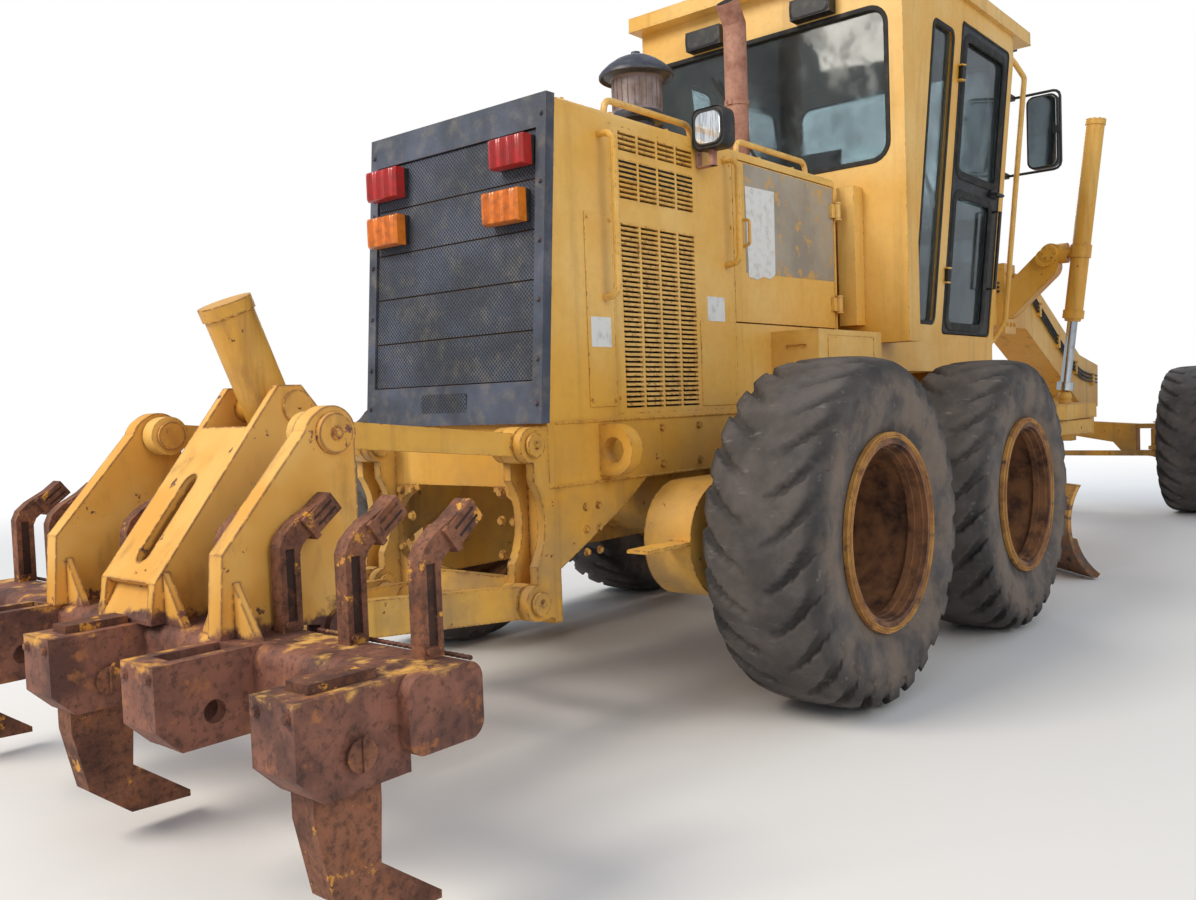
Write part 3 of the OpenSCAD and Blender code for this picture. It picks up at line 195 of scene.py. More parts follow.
ground = Finish("pale_floor", Roughness=0.9)
ground.shader.inputs["Base Color"].default_value = tone("#e2e0dd")
spot = ground.node("TexCoord").outputs["Object"]
level = ground.node("Mapping", {"Vector": spot, "Scale": (1, 1, 0)})
far = ground.node("VectorMath", {0: level.outputs[0]}, operation="LENGTH").outputs["Value"]
looked_at = ground.node("LightPath").outputs["Is Camera Ray"]
white = ground.node("Emission", {"Color": (1, 1, 1, 1), "Strength": 1.0}).outputs[0]
fade = ground.times(ground.band(far, 5.2, 12.0), looked_at)
faded = ground.node("MixShader", {0: fade, 1: ground.shader.outputs[0], 2: white})
ground.tree.links.new(faded.outputs[0], ground.tree.nodes["Material Output"].inputs["Surface"])
floor_mesh = bmesh.new()
bmesh.ops.create_grid(floor_mesh, x_segments=1, y_segments=1, size=60)
floor = bpy.data.objects.new("floor", bpy.data.meshes.new("floor"))
floor_mesh.to_mesh(floor.data)
floor.data.materials.append(ground.material)
floor.location = (0, 0, -0.002)
bpy.context.scene.collection.objects.link(floor)


# Painted steel: the frame, hood and cab carry a warm yellow enamel that the sun has faded.
# It's worn to rust along its edges, streaked below the seams, and dusty near the ground.
def enamel(name, fresh, faded, chips, dirt, edge=0.006):
    """Old enamel: chips is how much of it is gone, dirt how much dust and grime lies on it."""
    m = Finish(name)
    paint = m.over(m.patches(1.1, 3, 0.38, 0.62), fresh, faded)
    paint = m.over(m.patches(30, 3, 0.35, 0.75, 0.16, shift=4), paint, "#b58138")
    runs = m.times(m.patches(9, 5, 0.52, 0.76, stretch=(1, 1, 0.07), shift=2), 0.75 * dirt)
    paint = m.over(runs, paint, "#7b5424")
    low = m.times(m.band(m.place()[2], 1.4, 0.2), dirt)
    paint = m.over(m.times(low, m.patches(4.5, 6, 0.34, 0.68, shift=7)), paint, "#947a57")
    grime = m.times(m.worn_edges(0.035), m.patches(7, 5, 0.45, 0.70, 0.6 * dirt, shift=15))
    paint = m.over(grime, paint, "#6b4a25")
    spots = m.patches(21, 6, 0.735 - 0.1 * chips, 0.755 - 0.1 * chips, shift=11, rough=0.66)
    ragged = m.patches(55, 5, 0.53 - 0.12 * chips, 0.66 - 0.12 * chips, shift=3)
    bare = m.most(m.times(m.worn_edges(edge), ragged), spots)
    rust = m.over(m.patches(60, 4, 0.4, 0.6, shift=5), "#5a3320", "#8d5530")
    m.feed("Base Color", m.over(bare, paint, rust))
    rough = m.node("MapRange", {0: m.most(bare, low), 1: 0.0, 2: 1.0, 3: 0.42, 4: 0.85})
    m.feed("Roughness", rough.outputs[0])
    skin = m.maths("ADD", m.cloud(3.2, 3, shift=9), m.times(m.cloud(160, 3), 0.05))
    m.bump(0.35, 0.012, m.maths("SUBTRACT", skin, m.times(bare, 0.12)))
    return m.material


def coat(finish, *names):
    for name in names:
        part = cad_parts[name]
        if not part.material_slots:
            part.data.materials.append(finish)
        for place in part.material_slots:
            place.material = finish


sheet_paint = enamel("sheet_enamel", "#dca53f", "#e6ba68", 0.10, 0.40)
frame_paint = enamel("frame_enamel", "#d79d35", "#e0b055", 0.40, 0.70)
cast_paint = enamel("casting_enamel", "#d29934", "#dcab4e", 0.80, 0.85, 0.010)
coat(sheet_paint, "hood", "louvre_panels", "hood_door_right", "hood_door_left", "grab_rails", "cab_shell",
     "toolboxes", "ripper_upper_links")
coat(frame_paint, "rear_frame", "front_frame", "lift_saddle", "front_axle", "lift_barrel_right",
     "lift_barrel_left")
coat(cast_paint, "ripper_bracket", "tandem_cases", "ripper_lower_link", "ripper_barrel", "drawbar", "circle",
     "blade_carrier", "shift_barrel", "knuckle_right", "knuckle_left", "tie_rod")


# Rear frame: welded box rails with a tow ring on each side, a bolted belly guard and weld beads.
# The parts here are the fasteners: hexagon bolts with washers, and beads where plates meet.
def frame_to(a, b):
    """The turn that takes Z to the way from a to b."""
    return (Vector(b) - Vector(a)).to_track_quat("Z", "Y").to_matrix().to_4x4()


def rod(mesh, a, b, radius, end=None, sides=20):
    a, b = Vector(a), Vector(b)
    turn = Matrix.Translation((a + b) / 2) @ frame_to(a, b)
    bmesh.ops.create_cone(mesh, cap_ends=True, segments=sides, radius1=radius,
                          radius2=radius if end is None else end, depth=(b - a).length, matrix=turn)


def slab(mesh, low, high, turn=Matrix()):
    """A block between two corners, turned as a whole by turn."""
    low, high = Vector(low), Vector(high)
    size = Matrix.Diagonal((high - low).to_4d())
    size[3][3] = 1
    bmesh.ops.create_cube(mesh, size=1, matrix=turn @ Matrix.Translation((low + high) / 2) @ size)


def bolt(mesh, place, way, size=0.012):
    """A hexagon head on its washer, standing on a face and pointing along way."""
    place, way = Vector(place), Vector(way).normalized()
    rod(mesh, place - way * 0.001, place + way * size * 0.25, size * 1.25, sides=16)
    rod(mesh, place + way * size * 0.2, place + way * size * 0.95, size, size * 0.92, sides=6)


def round_about(centre, radius, count, first, second, start=0.0):
    """Points on a circle in the plane of two directions, from the first towards the second."""
    angles = (start + 2 * math.pi * k / count for k in range(count))
    return [centre + radius * (first * math.cos(a) + second * math.sin(a)) for a in angles]


def loft(mesh, rings, closed=False):
    """A skin over rings of points. Its ends are capped, or else joined to each other."""
    rings = [[mesh.verts.new(p) for p in ring] for ring in rings]
    if not closed:
        mesh.faces.new(rings[0][::-1])
        mesh.faces.new(rings[-1])
    for a, b in zip(rings, rings[1:] + (rings[:1] if closed else [])):
        for k in range(len(a)):
            j = (k + 1) % len(a)
            mesh.faces.new((a[k], a[j], b[j], b[k]))


def tube(mesh, points, radius, sides=10):
    """A round bar along points."""
    points = [Vector(p) for p in points]
    rings, side = [], None
    for i, p in enumerate(points):
        way = (points[min(i + 1, len(points) - 1)] - points[max(i - 1, 0)]).normalized()
        if side is None:
            side = way.orthogonal().normalized()
        side = (side - way * side.dot(way)).normalized()
        rings.append(round_about(p, radius, sides, side, way.cross(side)))
    loft(mesh, rings)


def curve_through(points, steps=6):
    """Points on a smooth curve that passes through every given point."""
    p = [Vector(q) for q in points]
    p = [2 * p[0] - p[1]] + p + [2 * p[-1] - p[-2]]
    out = []
    for i in range(1, len(p) - 2):
        for k in range(steps):
            t = k / steps
            out.append(0.5 * (2 * p[i] + (p[i + 1] - p[i - 1]) * t
                              + (2 * p[i - 1] - 5 * p[i] + 4 * p[i + 1] - p[i + 2]) * t * t
                              + (3 * p[i] - p[i - 1] - 3 * p[i + 1] + p[i + 2]) * t ** 3))
    return out + [p[-2]]


def piece(name, mesh, finish, body, round_off=0.0):
    """Makes the object, rounds its edges, and lets it ride on its body."""
    made = bpy.data.objects.new(name, bpy.data.meshes.new(name))
    bmesh.ops.recalc_face_normals(mesh, faces=mesh.faces)
    mesh.to_mesh(made.data)
    mesh.free()
    made.data.materials.append(finish)
    for face in made.data.polygons:
        face.use_smooth = True
    made.data.set_sharp_from_angle(angle=math.radians(38))
    bpy.context.scene.collection.objects.link(made)
    if round_off:
        edge = made.modifiers.new("rounded", "BEVEL")
        edge.width, edge.segments, edge.limit_method = round_off, 2, "ANGLE"
        edge.harden_normals = True
    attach(made, body)
    return made


rail_face = 0.470
bolts = bmesh.new()
welds = bmesh.new()
for side in sides:
    for x, z in product((-1.05, -0.80, -0.15, 0.45, 1.05, 1.45), (0.90, 1.04)):
        bolt(bolts, at(x, side * rail_face, z), side * Y, 0.013)
    for x, z in product((-1.52, -1.45), (0.62, 0.70, 0.78)):
        bolt(bolts, at(x, side * rail_face, z), side * Y, 0.012)
    for z in (0.862, 1.078):
        beads = [at(-1.66 + 0.02 * i, side * (rail_face + 0.0005), z + 0.0012 * (i % 2)) for i in range(150)]
        tube(welds, beads, 0.005, 6)
piece("frame_bolts", bolts, cast_paint, "rear_frame")
piece("frame_welds", welds, frame_paint, "rear_frame")


# Hood: pressed louvre panels that lift off, a narrow bolted access panel behind them, and doors.
# Each louvre is a slit with a lip pressed outwards over it; behind the slits, a dark sheet is painted shade.
# The second block has four more rows than the panel's own slits, so those get dark films of painted shade.
hood_face = 0.465
louvre_pitch, slit_height = 0.0185, 0.0085
middle_block = 1.890
louvre_blocks = ((2.065, 4), (middle_block, 4), (1.120, 37))
louvre_columns = [(-1.256 + 0.122 * i, -1.148 + 0.122 * i) for i in range(4)]
# A near-black finish used as painted shade in slits, gaps and seams.
painted_shade = mottled("painted_shade_inside", "#15110c", "#2b2218", (25, 5), Roughness=0.95)
louvres = bmesh.new()
slit_shade = bmesh.new()


def louvre(side, left, right, top):
    """A lip over the slit whose upper edge is at top."""
    out, sunk = hood_face + 0.0055, hood_face - 0.0005
    shape = [(left, hood_face, 0.007), (right, hood_face, 0.007), (right - 0.003, out, -0.001),
             (left + 0.003, out, -0.001), (right - 0.004, sunk, 0.001), (left + 0.004, sunk, 0.001)]
    v = [louvres.verts.new(at(x, side * y, top + z)) for x, y, z in shape]
    for corners in ((0, 1, 2, 3), (3, 2, 4, 5), (0, 3, 5), (1, 4, 2), (0, 5, 4, 1)):
        louvres.faces.new([v[i] for i in corners])


for side in sides:
    for low, rows in louvre_blocks:
        for row, (left, right) in product(range(rows), louvre_columns):
            louvre(side, left, right, low + louvre_pitch * row + slit_height)
        low -= 0.004
        # A dark sheet behind each block of slits: painted shade inside the slits.
        slab(slit_shade, at(-1.262, side * 0.4500, low), at(-0.774, side * 0.4515, low + louvre_pitch * rows))
    for row, (left, right) in product(range(4, 8), louvre_columns):
        foot = middle_block + louvre_pitch * row
        # A dark film where the panel has no slit of its own: painted shade of an open slit.
        slab(slit_shade, at(left, side * 0.4645, foot), at(right, side * 0.4654, foot + slit_height))
        louvre(side, left, right, foot + slit_height)
piece("louvres", louvres, sheet_paint, "rear_frame")
piece("louvre_slit_shade", slit_shade, painted_shade, "rear_frame")

panels = bmesh.new()
fixings = bmesh.new()
for side in sides:
    slab(panels, at(-1.468, side * hood_face, 1.128), at(-1.316, side * (hood_face + 0.005), 1.817))
    slab(panels, at(-0.757, side * hood_face, 1.115), at(-0.492, side * (hood_face + 0.004), 1.46))
    for x, z in product((-1.456, -1.328), (1.15, 1.80)):
        bolt(fixings, at(x, side * (hood_face + 0.005), z), side * Y, 0.007)
    for x, z in product((-1.295, -0.505), (1.16, 1.86, 2.12)):
        bolt(fixings, at(x, side * hood_face, z), side * Y, 0.007)
for x, y in product((-1.52, -1.25, -0.9, -0.2, 0.1, 0.40), (-0.43, 0.43)):
    bolt(fixings, at(x, y, 2.198), Z, 0.009)
piece("access_panels", panels, sheet_paint, "rear_frame", 0.002)
piece("hood_bolts", fixings, sheet_paint, "rear_frame")

m = Finish("faded_decal", Roughness=0.5)
scratched = m.patches(14, 7, 0.56, 0.60, 0.9, shift=3, rough=0.7)
sun = m.over(m.patches(3, 4, 0.35, 0.65), "#8d8578", "#a79c8a")
m.feed("Base Color", m.over(scratched, sun, "#c79a55"))
decal = m.material
label = mottled("blank_label", "#dcdcd8", "#a39a88", (22, 6, 0.45, 0.75, 0.6), Roughness=0.45)


def sticker(name, finish, body, shapes):
    """Thin films on the hood's side: each shape is (side, how far out it lies, outline in x and z)."""
    film = bmesh.new()
    for side, out, outline in shapes:
        out += hood_face
        loft(film, [[at(x, side * y, z) for x, z in outline] for y in (out + 0.001, out)])
    piece(name, film, finish, body)


def box_outline(left, right, foot, top):
    return (left, foot), (right, foot), (right, top), (left, top)


door_outline = ((-0.390, 1.680), (0.425, 1.695), (0.425, 2.146), (-0.390, 2.146))
torn_outline = ((-0.385, 2.050), (-0.140, 2.056), (-0.146, 1.690), (-0.190, 1.664), (-0.250, 1.672),
                (-0.300, 1.655), (-0.372, 1.662))
for side, word in words.items():
    sticker(f"door_decal_{word}", decal, f"hood_door_{word}", [(side, 0.0002, door_outline)])
sticker("torn_label", label, "hood_door_right", [(-1, 0.0013, torn_outline)])
sticker("blank_labels", label, "rear_frame", [(-1, 0.0052, box_outline(-1.452, -1.340, 1.342, 1.449)),
                                              (-1, 0.0002, box_outline(-0.700, -0.572, 1.462, 1.562))])


# Radiator grille: a steel frame with perforated sheet in it, all in dark blue-grey enamel.
# The sheet is in five lengths with painted shade in the gaps between them, and a small patch is bolted below.
grille_slope = (1.683 - 1.595) / (2.200 - 1.080)


def grille_at(y, z, proud):
    """A point at height z, proud metres out from the leaning plane of the grille's sheet."""
    return at(-1.615 - grille_slope * (2.200 - z) - proud, y, z)


def blue_grey(name, hole_pitch=None):
    m = Finish(name, Roughness=0.6, Metallic=0.0)
    paint = m.over(m.patches(4, 5, 0.35, 0.7), "#353b47", "#50586a")
    paint = m.over(m.times(m.patches(14, 6, 0.45, 0.8, shift=3), 0.55), paint, "#7d7568")
    worn = m.times(m.worn_edges(0.005), m.patches(50, 4, 0.45, 0.6))
    paint = m.over(worn, paint, "#6b452c")
    skin = m.cloud(90, 3)
    if hole_pitch:
        turns = [m.times(m.place()[axis], 2 * math.pi / hole_pitch) for axis in (1, 2)]
        waves = [m.node("Math", {0: turn}, operation="SINE").outputs[0] for turn in turns]
        # The holes are coloured nearly black: painted shade seen through the perforations.
        hole = m.band(m.times(*waves), -0.05, 0.25)
        paint = m.over(m.times(hole, 0.88), paint, "#0c0e12")
        skin = m.maths("SUBTRACT", skin, m.times(hole, 3.0))
    m.feed("Base Color", paint)
    m.bump(0.6, 0.002, skin)
    return m.material


grille_paint = blue_grey("grille_enamel")
perforated = blue_grey("perforated_sheet", 0.016)
coat(grille_paint, "rear_grille")
sheet_half = 0.417
sheet_rows = ((1.229, 1.394), (1.400, 1.566), (1.572, 1.738), (1.744, 1.910), (1.916, 2.081))
sheets = bmesh.new()
seams = bmesh.new()
screws = bmesh.new()
for row, (foot, top) in enumerate(sheet_rows):
    outline = box_outline(-sheet_half, sheet_half, foot, top)
    loft(sheets, [[grille_at(y, z, proud) for y, z in outline] for proud in (0.0125, 0.0095)])
    if row:
        # A dark strip in the gap between two sheets: painted shade.
        slab(seams, grille_at(-sheet_half, foot - 0.006, 0.0085), grille_at(sheet_half, foot, 0.0100))
slab(sheets, grille_at(-0.10, 1.125, 0.022), grille_at(0.14, 1.195, 0.027))
for y, z in product((-0.443, 0.443), (1.15, 1.30, 1.50, 1.70, 1.90, 2.13)):
    bolt(screws, grille_at(y, z, 0.0225), (-1, 0, 0.08), 0.008)
piece("grille_sheets", sheets, perforated, "rear_frame")
piece("grille_seam_shade", seams, painted_shade, "rear_frame")
piece("grille_straps", screws, grille_paint, "rear_frame")


# Tail lamps: moulded lenses with upright ribs, red above and amber below, clipped over their
# rubber housings, which are screwed to the grille.
def lens_plastic(name, colour):
    return mottled(name, colour, "#5c2a18", (30, 4, 0.35, 0.75, 0.5), Roughness=0.28, Coat_Weight=0.5)


black_rubber = mottled("black_rubber", "#161616", "#4d463c", (18, 5, 0.4, 0.8, 0.6), Roughness=0.75)
coat(black_rubber, "tail_lamps")
red_lens = lens_plastic("red_lens", "#b3211c")
amber_lens = lens_plastic("amber_lens", "#e07a1c")
tail_lamps = ((red_lens, -0.410, -0.250, 1.960, 2.060), (amber_lens, -0.390, -0.220, 1.770, 1.880),
              (red_lens, 0.250, 0.420, 1.950, 2.060), (amber_lens, 0.240, 0.410, 1.770, 1.880))
lens_section = ((0.029, 0, 0), (0.067, 0.1, 0), (0.067, 0.8, 0.04), (0.067, 1, 0.12),
                (0.067, 1, 0.88), (0.067, 0.8, 0.96), (0.067, 0.1, 1), (0.029, 0, 1))
lens_steps, lens_skin = 36, 0.0015
for number, (finish, y0, y1, z0, z1) in enumerate(tail_lamps):
    width, high = y1 - y0 + 2 * lens_skin, z1 - z0 + 2 * lens_skin
    ribs = []
    for i in range(lens_steps + 1):
        y = y0 - lens_skin + width * i / lens_steps
        out = 0.010 + 0.003 * math.cos(i * math.pi * 0.9) if 0 < i < lens_steps else 0.002
        ribs.append([grille_at(y, z0, proud + out * share) + Z * (high * up - lens_skin)
                     for proud, share, up in lens_section])
    lens = bmesh.new()
    loft(lens, ribs)
    piece(f"lens_{number}", lens, finish, "rear_frame")


# Exhaust stack and precleaner: a rusted steel pipe cut off at a slant, held by clamps, and an
# intake with a ribbed rubber cap over a yellowed see-through dust bowl.
def rusted(name, dark, light, yellow=0.0, bump_depth=0.003, pits=1.0):
    """Rusted steel, with as much yellow paint left on it as yellow says, and as many pits."""
    m = Finish(name, Roughness=0.82)
    rust = m.over(m.patches(6, 6, 0.36, 0.64), dark, light)
    rust = m.over(m.patches(55, 6, 0.45, 0.65, 0.6 * pits, shift=2, rough=0.7), rust, "#2c1912")
    rust = m.over(m.patches(17, 5, 0.55, 0.75, 0.45 * pits, shift=8), rust, "#a2612f")
    if yellow:
        left = m.patches(13, 7, 0.66 - 0.2 * yellow, 0.70 - 0.2 * yellow, shift=5, rough=0.72)
        rust = m.over(left, rust, "#cf9136")
    m.feed("Base Color", rust)
    m.bump(0.7, bump_depth, m.cloud(85, 7, rough=0.7))
    return m.material


stack_rust = rusted("stack_rust", "#8a5a4a", "#b58672", 0.0, 0.002, 0.35)
coat(stack_rust, "exhaust_stack")
stack_x, mouth_lean = 0.330, math.radians(35)
clamp = bmesh.new()
for z in (2.235, 2.62):
    rod(clamp, at(stack_x, 0, z), at(stack_x, 0, z + 0.028), 0.0625, sides=40)
    slab(clamp, at(0.262, -0.012, z), at(0.275, 0.012, z + 0.028))
    bolt(clamp, at(0.268, 0.012, z + 0.014), Y, 0.009)
piece("stack_clamps", clamp, stack_rust, "rear_frame")
# A dark disc over the pipe's open mouth: soot, together with painted shade for the dark bore.
mouth = bmesh.new()
way = Z * math.cos(mouth_lean) - X * math.sin(mouth_lean)
tip = at(stack_x, 0, 3.030) + way * 0.1205
rod(mouth, tip - way * 0.002, tip + way * 0.0004, 0.050, sides=40)
soot_and_shade = mottled("soot_and_shade", "#0d0b0a", "#241913", (60, 5.0), Roughness=0.95)
piece("stack_mouth", mouth, soot_and_shade, "rear_frame")

m = Finish("precleaner", Roughness=0.42)
grey = m.over(m.patches(20, 5, 0.35, 0.75), "#2c2d37", "#474955")
tan = m.over(m.patches(12, 5, 0.35, 0.7), "#8f8080", "#6b564a")
high_up = m.place()[2]
in_bowl = m.times(m.band(high_up, 2.424, 2.428), m.band(high_up, 2.577, 2.573))
m.feed("Base Color", m.over(in_bowl, grey, tan))
bowl_profile = ((0.074, 2.200), (0.074, 2.380), (0.118, 2.388), (0.122, 2.398), (0.122, 2.416),
                (0.112, 2.424), (0.109, 2.436), (0.112, 2.572), (0.150, 2.590), (0.163, 2.578),
                (0.168, 2.582), (0.168, 2.594), (0.158, 2.608), (0.130, 2.634), (0.092, 2.660),
                (0.052, 2.678), (0.022, 2.684), (0.020, 2.698), (0.008, 2.702))
cleaner_x, vanes = -0.510, 24
cleaner = bmesh.new()
loft(cleaner, [round_about(at(cleaner_x, 0, z), radius, 48, X, Y) for radius, z in bowl_profile])
for i in range(vanes):
    turn = Matrix.Translation(at(cleaner_x, 0, 0)) @ Matrix.Rotation(2 * math.pi * i / vanes, 4, "Z")
    slab(cleaner, (0.106, -0.002, 2.440), (0.114, 0.002, 2.568), turn)
for x, y in ((-0.620, -0.060), (-0.400, 0.060)):
    rod(cleaner, at(x, y, 2.400), at(x, y, 2.460), 0.010, sides=12)
precleaner = piece("precleaner_bowl", cleaner, m.material, "rear_frame")
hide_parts("precleaner")


# Cab: welded sheet steel on posts, glazed with tinted safety glass in black rubber gaskets.
# The door sides lean in towards the floor, so on_side() turns their gaskets with them.
m = Finish("tinted_glass", Roughness=0.05, Transmission_Weight=0.88, IOR=1.45)
m.feed("Base Color", m.over(m.patches(3.5, 6, 0.35, 0.75), "#8b9799", "#6f7577"))
haze = m.node("MapRange", {0: m.cloud(6, 6, shift=2), 1: 0.45, 2: 0.8, 3: 0.03, 4: 0.30})
m.feed("Roughness", haze.outputs[0])
coat(m.material, "cab_glass", "door_glass_right", "door_glass_left")


def rounded_outline(left, foot, width, high, radius, steps=6):
    """A rectangle's outline with round corners, as (across, up) pairs."""
    points = []
    for cx, cz, turn in ((width - radius, high - radius, 0), (radius, high - radius, 90),
                         (radius, radius, 180), (width - radius, radius, 270)):
        for k in range(steps + 1):
            a = math.radians(turn + 90 * k / steps)
            points.append((left + cx + radius * math.cos(a), foot + cz + radius * math.sin(a)))
    return points


def gasket(mesh, outline, place, wide=0.013, thick=0.006):
    """A flat rubber moulding along an outline; place() turns (across, up, out) into a point."""
    arch = ((-1, 0), (-0.8, 0.8), (0, 1), (0.8, 0.8), (1, 0))
    section = [(wide * across, thick * up) for across, up in arch]
    rings = []
    for i, (u, v) in enumerate(outline):
        before, after = outline[i - 1], outline[(i + 1) % len(outline)]
        du, dv = after[0] - before[0], after[1] - before[1]
        size = math.hypot(du, dv)
        rings.append([place(u + dv / size * w, v - du / size * w, out) for w, out in section])
    loft(mesh, rings, closed=True)


cab_rear, cab_front, cab_floor, floor_half = 0.590, 2.200, 1.440, 0.615
lean = math.atan((0.775 - floor_half) / (3.100 - cab_floor))


def on_side(side, across, up, out):
    """A point on the leaning side of the cab, out metres out from it."""
    y = floor_half + out * math.cos(lean) + up * math.sin(lean)
    z = cab_floor - out * math.sin(lean) + up * math.cos(lean)
    return at(across, y * side, z)


def on_rear(u, v, out):
    return at(cab_rear - out, u, v)


def on_front(u, v, out):
    return at(cab_front + out, u, v)


gaskets = bmesh.new()
gasket(gaskets, rounded_outline(-0.690, 2.280, 1.380, 0.740, 0.090), on_rear)
gasket(gaskets, rounded_outline(-0.640, 2.180, 1.280, 0.900, 0.080), on_front)
for middle in (-0.300, 0.300):
    gasket(gaskets, rounded_outline(middle - 0.220, 1.520, 0.440, 0.560, 0.060), on_front)
for side in sides:
    gasket(gaskets, rounded_outline(1.000, 0.070, 0.270, 1.530, 0.040), lambda *p: on_side(side, *p))
piece("window_gaskets", gaskets, black_rubber, "rear_frame")
for side, word in words.items():
    seals = bmesh.new()
    for foot, width in ((0.890, 0.620), (0.060, 0.560)):
        pane = rounded_outline(1.440, foot, width, 0.730, 0.060)
        gasket(seals, pane, lambda *p: on_side(side, *p), 0.024, 0.009)
    edge = rounded_outline(1.392, 0.026, 0.726, 1.651, 0.026)
    gasket(seals, edge, lambda *p: on_side(side, *p), 0.006, 0.004)
    piece(f"door_seals_{word}", seals, black_rubber, f"cab_door_{word}")

ribs = bmesh.new()
for x in (0.62, 0.86, 1.12, 1.38, 1.64, 1.90, 2.16, 2.38):
    slab(ribs, at(x, -0.74, 3.305), at(x + 0.05, 0.74, 3.313))
slab(ribs, at(0.498, -0.802, 3.228), at(2.447, 0.802, 3.242))
for x, y in product((0.56, 0.95, 1.45, 1.95, 2.39), (-0.70, 0.70)):
    bolt(ribs, at(x, y, 3.307), Z, 0.010)
piece("roof_ribs", ribs, sheet_paint, "rear_frame", 0.003)

wipers = bmesh.new()
tube(wipers, [at(0.565, 0.05, 2.235), at(0.558, 0.05, 2.26), at(0.557, 0.16, 2.62)], 0.007)
tube(wipers, [at(0.574, 0.02, 2.36), at(0.572, 0.30, 2.88)], 0.009, 8)
rod(wipers, at(0.592, 0.05, 2.24), at(0.550, 0.05, 2.24), 0.020)
for y in (-0.28, 0.28):
    rod(wipers, at(2.198, y, 2.130), at(2.228, y, 2.130), 0.020)
    tube(wipers, [at(2.224, y, 2.130), at(2.226, y + 0.07, 2.48)], 0.007)
    tube(wipers, [at(2.214, y - 0.02, 2.26), at(2.214, y + 0.16, 2.76)], 0.009, 8)
piece("wipers", wipers, black_rubber, "rear_frame")


# Lamps and mirrors: sealed beams of pressed glass in cans beside the hood and on the roof's nose.
# The two on the header behind the cab are under black covers. The mirrors are silvered glass.
beam_glass = mottled("beam_glass", "#b9c0c4", "#eef2f4", (120, 2, 0.4, 0.6, 1.0, (1, 1, 0.1)), Roughness=0.12,
                     Metallic=0.65, Coat_Weight=0.8)
black_paint = mottled("black_enamel", "#17181a", "#453d33", (24, 6, 0.45, 0.75, 0.7), Roughness=0.5)
coat(black_paint, "work_lamps", "mirrors", "cab_door_right", "cab_door_left")
lamp_y, lamp_z = 0.543, 2.214
can_rings = ((-0.772, 0.96), (-0.778, 1.0), (-0.770, 1.03), (-0.698, 1.0), (-0.676, 0.86), (-0.664, 0.55))
beams = bmesh.new()
rims = bmesh.new()
brackets = bmesh.new()
for side, word in words.items():
    rings = []
    for x, grow in can_rings:
        outline = rounded_outline(*(grow * size for size in (-0.074, -0.079, 0.148, 0.158, 0.030)))
        rings.append([at(x, side * (lamp_y + u), lamp_z + v) for u, v in outline])
    can = bmesh.new()
    loft(can, rings)
    piece(f"hood_lamp_{word}", can, black_paint, "rear_frame")
    slab(brackets, at(-0.752, side * 0.467, 2.072), at(-0.712, side * 0.470, 2.140))
    slab(brackets, at(-0.752, side * 0.467, 2.072), at(-0.712, side * 0.545, 2.077))
    slab(brackets, at(-0.748, side * 0.525, 2.072), at(-0.716, side * 0.545, 2.140))
    bolt(brackets, at(-0.732, side * 0.470, 2.118), side * Y, 0.008)
    for place, way, high, wide, front in ((at(0.520, side * 0.320, 3.090), -X, 0.043, 0.102, rims),
                                          (at(-0.774, side * lamp_y, lamp_z), -X, 0.064, 0.060, beams),
                                          (at(2.510, side * 0.63, 3.285), X, 0.044, 0.060, beams)):
        turn = Matrix.Translation(place) @ frame_to((0, 0, 0), way)
        for mesh, grow, out in ((front, 1.0, 0.006), (rims, 1.10, 0.004)):
            corner = min(high, wide) * 0.6
            outline = rounded_outline(*(grow * size for size in (-wide, -high, 2 * wide, 2 * high, corner)))
            loft(mesh, [[turn @ Vector((u * share, v * share, up)) for u, v in outline]
                        for share, up in ((1, 0), (0.94, out))])
piece("beam_lenses", beams, beam_glass, "rear_frame")
piece("beam_rims", rims, black_paint, "rear_frame")
piece("lamp_brackets", brackets, stack_rust, "rear_frame", 0.001)

silver = mottled("mirror_silver", "#ced6d8", "#87877f", (22, 5, 0.5, 0.8, 0.5), Metallic=1.0, Roughness=0.06)
glass = bmesh.new()
outline = rounded_outline(0.830, 2.455, 0.160, 0.410, 0.037)
for side in sides:
    loft(glass, [[at(x, side * y, z) for y, z in outline] for x in (2.2725, 2.2752)])
piece("mirror_glass", glass, silver, "rear_frame", 0.004)

latch_route = ((1.945, 0.845, 0.012), (1.945, 0.845, 0.050), (2.055, 0.845, 0.050), (2.055, 0.845, 0.012))
pull_route = ((2.03, 0.30, 0.0), (2.03, 0.30, 0.05), (2.03, 0.75, 0.05), (2.03, 0.75, 0.0))
for side, word in words.items():
    latch = bmesh.new()
    for route, radius in ((latch_route, 0.009), (pull_route, 0.010)):
        tube(latch, [on_side(side, *p) for p in route], radius)
    piece(f"door_pull_{word}", latch, black_paint, f"cab_door_{word}")


